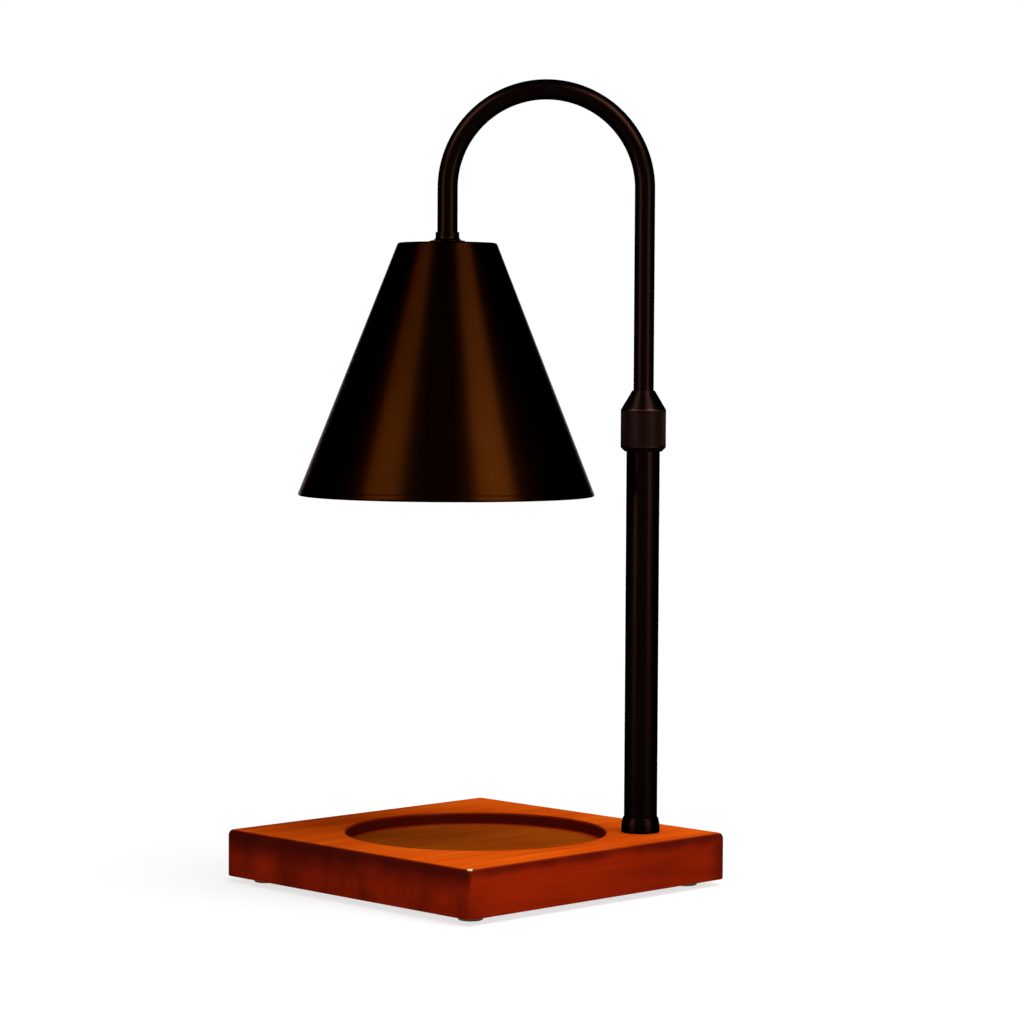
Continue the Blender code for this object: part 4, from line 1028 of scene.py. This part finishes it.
# %% Tube and cord
TUBE_WALL = 0.0008
HOOK_POINTS = 260
TUBE_SIDES = 48
arm_low, arm_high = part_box("arm_tube")
cord_low, cord_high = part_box("arm_cord")
nipple_low, nipple_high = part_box("neck_nipple")
arm_radius = arm_high.x - post_x
arch_radius = (post_x - shade_x) / 2
arch_height = arm_high.z - arm_radius - arch_radius
neck_low, neck_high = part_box("neck_cap")
NECK_FLOOR = 0.0012
short_leg_bottom = neck_low.z + NECK_FLOOR + CLEARANCE


def hollow(outer, inner):
    """Join an outer and an inner bar into one open tube with flat ends."""
    bm = bmesh.new()
    bm.from_mesh(outer.data)
    bm.from_mesh(inner.data)
    ends = [face for face in bm.faces if len(face.verts) == TUBE_SIDES]
    rims = [list(face.edges) for face in ends]
    bmesh.ops.delete(bm, geom=ends, context="FACES_ONLY")
    for first, second in ((0, 2), (1, 3)):
        bmesh.ops.bridge_loops(bm, edges=rims[first] + rims[second])
    bmesh.ops.recalc_face_normals(bm, faces=bm.faces)
    bm.to_mesh(outer.data)
    bm.free()
    bpy.data.objects.remove(inner)
    outer.data.shade_smooth()
    outer.data.set_sharp_from_angle(angle=SMOOTH_ANGLE)
    return outer


hook = {"bottom": arm_low.z, "arch_height": arch_height, "arch_radius": arch_radius,
        "end_height": short_leg_bottom, "axis_x": post_x, "points": HOOK_POINTS,
        "sides": TUBE_SIDES, "material": BLACK}
tube = HOOK.make("hooked_tube", radius=arm_radius, **hook)
bore = HOOK.make("tube_bore", radius=arm_radius - TUBE_WALL, **hook)
dress(hollow(tube, bore), "arm", "black_metal", "arm_tube")

cord_radius = cord_high.y
hook.update(bottom=cord_low.z, end_height=nipple_low.z, material=DARK_SLEEVE)
cord = HOOK.make("inner_cord", radius=cord_radius, **hook)
dress(cord, "arm", "black_sleeve", "arm_cord")

# %% [markdown]
# ## The neck and the shade
#
# A small cap with a flared foot hides the joint between tube and shade. The shade is spun
# from one disc: a flat top, a straight cone and a rim that is folded over to a hem. The fold
# shows outside as a faint crease.

# %% Neck cap
NIPPLE_CLEARANCE_RADIUS = 0.00345
NECK_FLARE = 0.0026
NECK_RIM_HEIGHT = 0.0005
shade_axis = (shade_x, 0)
neck_rim = (neck_high.x - neck_low.x) / 2
neck_top = neck_rim - NECK_FLARE
neck_corners = (
    (NIPPLE_CLEARANCE_RADIUS, neck_low.z, 0),
    (neck_rim, neck_low.z, 0.0002),
    (neck_rim, neck_low.z + NECK_RIM_HEIGHT, 0.0002),
    (neck_top, neck_low.z + 2 * NECK_RIM_HEIGHT, NECK_FLARE),
    (neck_top, neck_high.z, 0.00015),
    (ARM_CLEARANCE_RADIUS, neck_high.z, 0),
    (ARM_CLEARANCE_RADIUS, neck_low.z + NECK_FLOOR, 0),
    (NIPPLE_CLEARANCE_RADIUS, neck_low.z + NECK_FLOOR, 0),
)
neck = turned("flared_neck", neck_corners, BLACK, shade_axis)
dress(neck, "arm", "black_metal", "neck_cap")

# %% Shade
SHADE_EDGE_FILLET = 0.0012
HEM_HEIGHT = 0.0025
HEM_THICKNESS = 0.0016
CREASE = 0.00012
shade_height = shade_high.z - shade_low.z
wall_across = SHADE_WALL * math.hypot(1, lean)
hem_across = HEM_THICKNESS * math.hypot(1, lean)


def cone_radius(height):
    """The shade's outer radius at a height above its rim."""
    return rim_radius - lean * height


shade_outline = (
    (rim_radius, 0, HEM_THICKNESS / 2),
    (cone_radius(HEM_HEIGHT - 2 * CREASE), HEM_HEIGHT - 2 * CREASE, 0),
    (cone_radius(HEM_HEIGHT) - CREASE, HEM_HEIGHT, 0),
    (cone_radius(HEM_HEIGHT + 2 * CREASE), HEM_HEIGHT + 2 * CREASE, 0),
    (SHADE_TOP_RADIUS, shade_height, SHADE_EDGE_FILLET),
    (NIPPLE_CLEARANCE_RADIUS, shade_height, 0),
    (NIPPLE_CLEARANCE_RADIUS, shade_height - SHADE_WALL, 0),
    (SHADE_TOP_RADIUS + lean * SHADE_WALL - wall_across, shade_height - SHADE_WALL, 0.0004),
    (cone_radius(HEM_HEIGHT) - wall_across, HEM_HEIGHT, 0),
    (cone_radius(HEM_HEIGHT) - hem_across, HEM_HEIGHT, 0.0003),
    (rim_radius - hem_across, 0, HEM_THICKNESS / 2),
)
shade_corners = [(radius, shade_low.z + height, fillet)
                 for radius, height, fillet in shade_outline]
shade = turned("spun_shade", shade_corners, BRONZE, shade_axis, steps=FINE_ROUND_STEPS)
dress(shade, "arm", "bronze_metal", "shade")

# %% [markdown]
# ## The bulb
#
# The reflector is pressed glass, silvered inside, and its front is closed by a glass with a
# field of small lenses, which spread the beam. Lenses in a sunflower's pattern repeat by a
# rule: point number n stands at the golden angle times n, and its distance from the middle
# grows as the square root of n, so they are all equally close. Geometry Nodes set them.

# %% Reflector
REFLECTOR_NECK_RADIUS = 0.0089
REFLECTOR_WALL = 0.0015
CAPSULE_CLEARANCE_RADIUS = 0.0049
BULB_RIM_HEIGHT = 0.003
BOWL_STEPS = 24
reflector_low, reflector_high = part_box("bulb_reflector")
cap_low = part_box("bulb_cap")[0]
bulb_radius = (reflector_high.x - reflector_low.x) / 2


def bowl(neck_radius, neck_height, edge_radius, edge_height):
    """A quarter ellipse from the reflector's neck down to its rim."""
    points = []
    for step in range(BOWL_STEPS + 1):
        angle = math.pi / 2 * step / BOWL_STEPS
        radius = neck_radius + (edge_radius - neck_radius) * math.sin(angle)
        points.append((radius, edge_height + (neck_height - edge_height) * math.cos(angle), 0))
    return points


rim_top = reflector_low.z + BULB_RIM_HEIGHT
inner_edge = bulb_radius - REFLECTOR_WALL
outside = bowl(REFLECTOR_NECK_RADIUS, cap_low.z, bulb_radius, rim_top)
inside = bowl(CAPSULE_CLEARANCE_RADIUS, cap_low.z - REFLECTOR_WALL, inner_edge, rim_top)
reflector_corners = [(CAPSULE_CLEARANCE_RADIUS, reflector_high.z, 0),
                     (REFLECTOR_NECK_RADIUS, reflector_high.z, 0), *outside,
                     (bulb_radius, reflector_low.z, 0.0004), (inner_edge, reflector_low.z, 0.0003),
                     *reversed(inside)]
reflector = turned("silvered_reflector", reflector_corners, SILVERING, shade_axis)
dress(reflector, "bulb", "silver_glass", "bulb_reflector")

# %% Front glass
LENSLET_COUNT = 150
LENSLET_RADIUS = 0.0011
LENSLET_FLATTEN = 0.35
LENS_MARGIN = 0.0016
GOLDEN_ANGLE = math.pi * (3 - math.sqrt(5))


def lenslet_maker():
    """Small flattened domes in a sunflower's pattern round the middle of a disc."""
    maker = Maker("lenslets", count="count", reach="length", radius="length", flatten="length",
                  material="material")
    points = maker.node("GeometryNodePoints", {}, {"Count": maker.input("count")})
    index = maker.node("GeometryNodeInputIndex")
    angle = index * GOLDEN_ANGLE
    share = (index + 0.5) / maker.input("count")
    out = share.math("SQRT", share) * maker.input("reach")
    spot = maker.node("ShaderNodeCombineXYZ", {}, {"X": out * angle.math("COSINE", angle),
                                                    "Y": out * angle.math("SINE", angle)})
    placed = maker.node("GeometryNodeSetPosition", {}, {"Geometry": points, "Position": spot})
    dome = maker.node("GeometryNodeMeshUVSphere", {},
                      {"Segments": 12, "Rings": 6, "Radius": maker.input("radius")})
    flat = maker.node("ShaderNodeCombineXYZ", {},
                      {"X": 1.0, "Y": 1.0, "Z": maker.input("flatten")})
    domes = maker.node("GeometryNodeInstanceOnPoints", {},
                       {"Points": placed, "Instance": dome, "Scale": flat})
    return maker.close(domes)


LENSLETS = lenslet_maker()
glass_low = lens_low.z + LENSLET_RADIUS * LENSLET_FLATTEN
lens_corners = (
    (0, glass_low, 0),
    (lens_radius, glass_low, 0.0003),
    (lens_radius, lens_high.z, 0.0003),
    (0, lens_high.z, 0),
)
lens = turned("front_lens", lens_corners, LENS_GLASS, shade_axis, closed=False)
lenslets = LENSLETS.make("lenslets", count=LENSLET_COUNT, reach=lens_radius - LENS_MARGIN,
                         radius=LENSLET_RADIUS, flatten=LENSLET_FLATTEN, material=LENS_GLASS)
lenslets.data.transform(Matrix.Translation((shade_x, 0, glass_low)))
dress(join(lens, lenslets), "bulb", "warm_glass", "bulb_lens")

# %% [markdown]
# ## Threads
#
# The stud, the clamp bush and the nipple are threaded. A thread is a ridge along a helix, so
# one tree makes all three: a spiral curve of the right pitch with a three-sided profile
# swept along it. The ridge stands on the plain cylinder that the node already has.

# %% Threads
THREAD_DEPTH = 0.00018
TURN_POINTS = 40


def thread_maker():
    """A ridge along a helix."""
    maker = Maker("thread", radius="length", turns="length", height="length", depth="length",
                  turn_points="count", material="material")
    helix = maker.node("GeometryNodeCurveSpiral", {},
                       {"Resolution": maker.input("turn_points"),
                        "Rotations": maker.input("turns"), "Start Radius": maker.input("radius"),
                        "End Radius": maker.input("radius"), "Height": maker.input("height")})
    upright = maker.node("GeometryNodeSetCurveNormal", {"mode": "Z_UP"}, {"Curve": helix})
    edge = maker.node("GeometryNodeCurvePrimitiveCircle", {},
                      {"Resolution": 4, "Radius": maker.input("depth")})
    ridge = maker.node("GeometryNodeCurveToMesh", {},
                       {"Curve": upright, "Profile Curve": edge, "Fill Caps": True})
    return maker.close(ridge)


THREAD = thread_maker()


def threaded(name, body, slot, material, axis_x, radius, low, high, pitch):
    """A thread of the given pitch on a cylinder, clear of both its ends."""
    first, last = low + pitch, high - pitch
    ridge = THREAD.make(name, radius=radius, turns=(last - first) / pitch, height=last - first,
                        depth=THREAD_DEPTH, turn_points=TURN_POINTS, material=material)
    ridge.data.transform(Matrix.Translation((axis_x, 0, first)))
    dress(ridge, body, slot)


bush_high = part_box("clamp_bush")[1]
STUD_RADIUS = 0.005
THREAD_RADIUS = 0.0062
BARREL_LENGTH = 0.008
POST_PITCH = 0.0008
NIPPLE_PITCH = 0.0006
threaded("stud_thread", "stand", "zinc_steel", ZINC, post_x, STUD_RADIUS,
         stud_low.z, washer_low.z, POST_PITCH)
threaded("bush_thread", "stand", "brass", BRASS, post_x, THREAD_RADIUS,
         bush_high.z - BARREL_LENGTH, bush_high.z, POST_PITCH)
threaded("nipple_thread", "arm", "zinc_steel", ZINC, shade_x, nipple_high.x - shade_x,
         nipple_low.z, short_leg_bottom - NECK_FLOOR, NIPPLE_PITCH)

# %% [markdown]
# ## Finishes on the pieces that stay
#
# The other nodes, such as the screws, nuts and washers, keep the meshes that they came with
# and get the finishes above. A finish goes straight into their material slots.

# %% Carried-over nodes
KEPT = {
    ZINC: ("post_stud", "base_washer", "base_nut", "arm_stop_ring", "neck_nipple",
           "neck_washer", "neck_nut", "holder_bracket", "holder_screw_left",
           "holder_screw_right", "bulb_pin_front", "bulb_pin_back"),
    BRASS: ("clamp_bush", "holder_contact_front", "holder_contact_back"),
    NYLON: ("clamp_collet", "arm_guide_bush", "arm_ferrule"),
    CERAMIC: ("lamp_holder", "bulb_cap"),
    DARK_SLEEVE: ("lead_front",),
    PALE_SLEEVE: ("lead_back",),
    CAPSULE_GLASS: ("bulb_capsule",),
}
for material, names in KEPT.items():
    for name in names:
        slots = frame["nodes"][name].material_slots
        for slot in slots:
            slot.material = material
print("kept nodes:", sum(len(names) for names in KEPT.values()))

# %% [markdown]
# ## Light and backdrop
#
# The picture is a cut-out on white. The world and the floor are plain white for what the
# camera, the gloss and clear glass see, and a mild light for everything else, so the lamp
# stands on white without being flooded by it. Near the base the floor keeps part of its own
# shading, which holds the soft shadow. Tall strips at the front left and front right, with
# a weaker one under each and one behind, serve the gloss only. They draw the warm bands on
# the shade and the tubes. A broad softbox overhead lights everything else.

# %% World and floor
AMBIENT = 0.40
FLOOR_RADIUS = 3.0
FLOOR_DROP = 0.0001
SHADOW_RADIUS = 0.16
SHADOW_FADE = 0.45
SHADOW_SHARE = 0.35
PAPER = (0.86, 0.86, 0.86, 1)
WHITE = (1, 1, 1, 1)
WHITE_STRENGTH = 1.1


def seen_directly(tree):
    """1 for camera, glossy and transmission rays, and 0 for the others."""
    path = tree.node("ShaderNodeLightPath")
    seen = path.math("MAXIMUM", path["Is Camera Ray"], path["Is Glossy Ray"])
    return path.math("MAXIMUM", seen, path["Is Transmission Ray"])


world = bpy.data.worlds.new("studio")
world.use_nodes = True
bpy.context.scene.world = world
sky = Tree(world.node_tree)
sky.data.nodes.clear()
seen = seen_directly(sky)
background = sky.node("ShaderNodeBackground", {},
                      {"Color": WHITE, "Strength": seen * (1 - AMBIENT) + AMBIENT})
sky.node("ShaderNodeOutputWorld", {}, {"Surface": background})

ground_finish = Finish("studio_floor")
floor_x, floor_y, _ = ground_finish.split(ground_finish.place)
distance = floor_x.math("SQRT", floor_x * floor_x + floor_y * floor_y)
fade = ground_finish.rise(distance, SHADOW_RADIUS, SHADOW_FADE)
paper = ground_finish.node("ShaderNodeBsdfDiffuse", {}, {"Color": PAPER})
white = ground_finish.node("ShaderNodeEmission", {},
                           {"Color": WHITE, "Strength": WHITE_STRENGTH})
share = seen_directly(ground_finish) * (fade * SHADOW_SHARE + (1 - SHADOW_SHARE))
surface = ground_finish.node("ShaderNodeMixShader", {}, {0: share, 1: paper, 2: white})
ground_finish.node("ShaderNodeOutputMaterial", {}, {"Surface": surface})

bm = bmesh.new()
bmesh.ops.create_circle(bm, cap_ends=True, radius=FLOOR_RADIUS, segments=ROUND_STEPS)
bmesh.ops.translate(bm, verts=bm.verts, vec=(0, 0, -FLOOR_DROP))
floor = finished("studio_floor", bm, ground_finish.material, smooth=False)
print("ambient light:", AMBIENT)

# %% Lamps
def softbox(name, azimuth, distance, height, width, tall, power, aim_height):
    """A rectangular area light that looks at the lamp. Azimuth 0 is in front of it."""
    data = bpy.data.lights.new(name, "AREA")
    data.shape = "RECTANGLE"
    data.size = width
    data.size_y = tall
    data.energy = power
    lamp = bpy.data.objects.new(name, data)
    bpy.context.scene.collection.objects.link(lamp)
    angle = math.radians(azimuth)
    place = Vector((distance * math.sin(angle), -distance * math.cos(angle), height))
    facing = (Vector((0, 0, aim_height)) - place).to_track_quat("-Z", "Y")
    lamp.matrix_world = Matrix.Translation(place) @ facing.to_matrix().to_4x4()
    lamp.visible_camera = False
    return lamp


STRIP_DISTANCE = 1.5
STRIP_AIM = 0.25
OVERHEAD_POWER = 21.0
# each strip's name, azimuth, height, width, length and power
STRIPS = (
    ("right_upper", 45, 1.45, 0.90, 1.1, 115.0),
    ("left_upper", -56, 1.45, 0.90, 1.1, 78.0),
    ("right_lower", 48, 0.25, 0.50, 0.7, 16.0),
    ("left_lower", -52, 0.25, 0.50, 0.7, 16.0),
    ("rim", -152, 0.6, 0.40, 1.0, 6.0),
)
for name, azimuth, height, width, tall, power in STRIPS:
    strip = softbox(name + "_strip", azimuth, STRIP_DISTANCE, height, width, tall, power,
                    STRIP_AIM)
    strip.visible_diffuse = False
overhead = softbox("overhead_softbox", 60, 0.45, 1.5, 1.1, 1.1, OVERHEAD_POWER, 0.0)
overhead.visible_glossy = False
bpy.context.scene.view_settings.view_transform = "Standard"
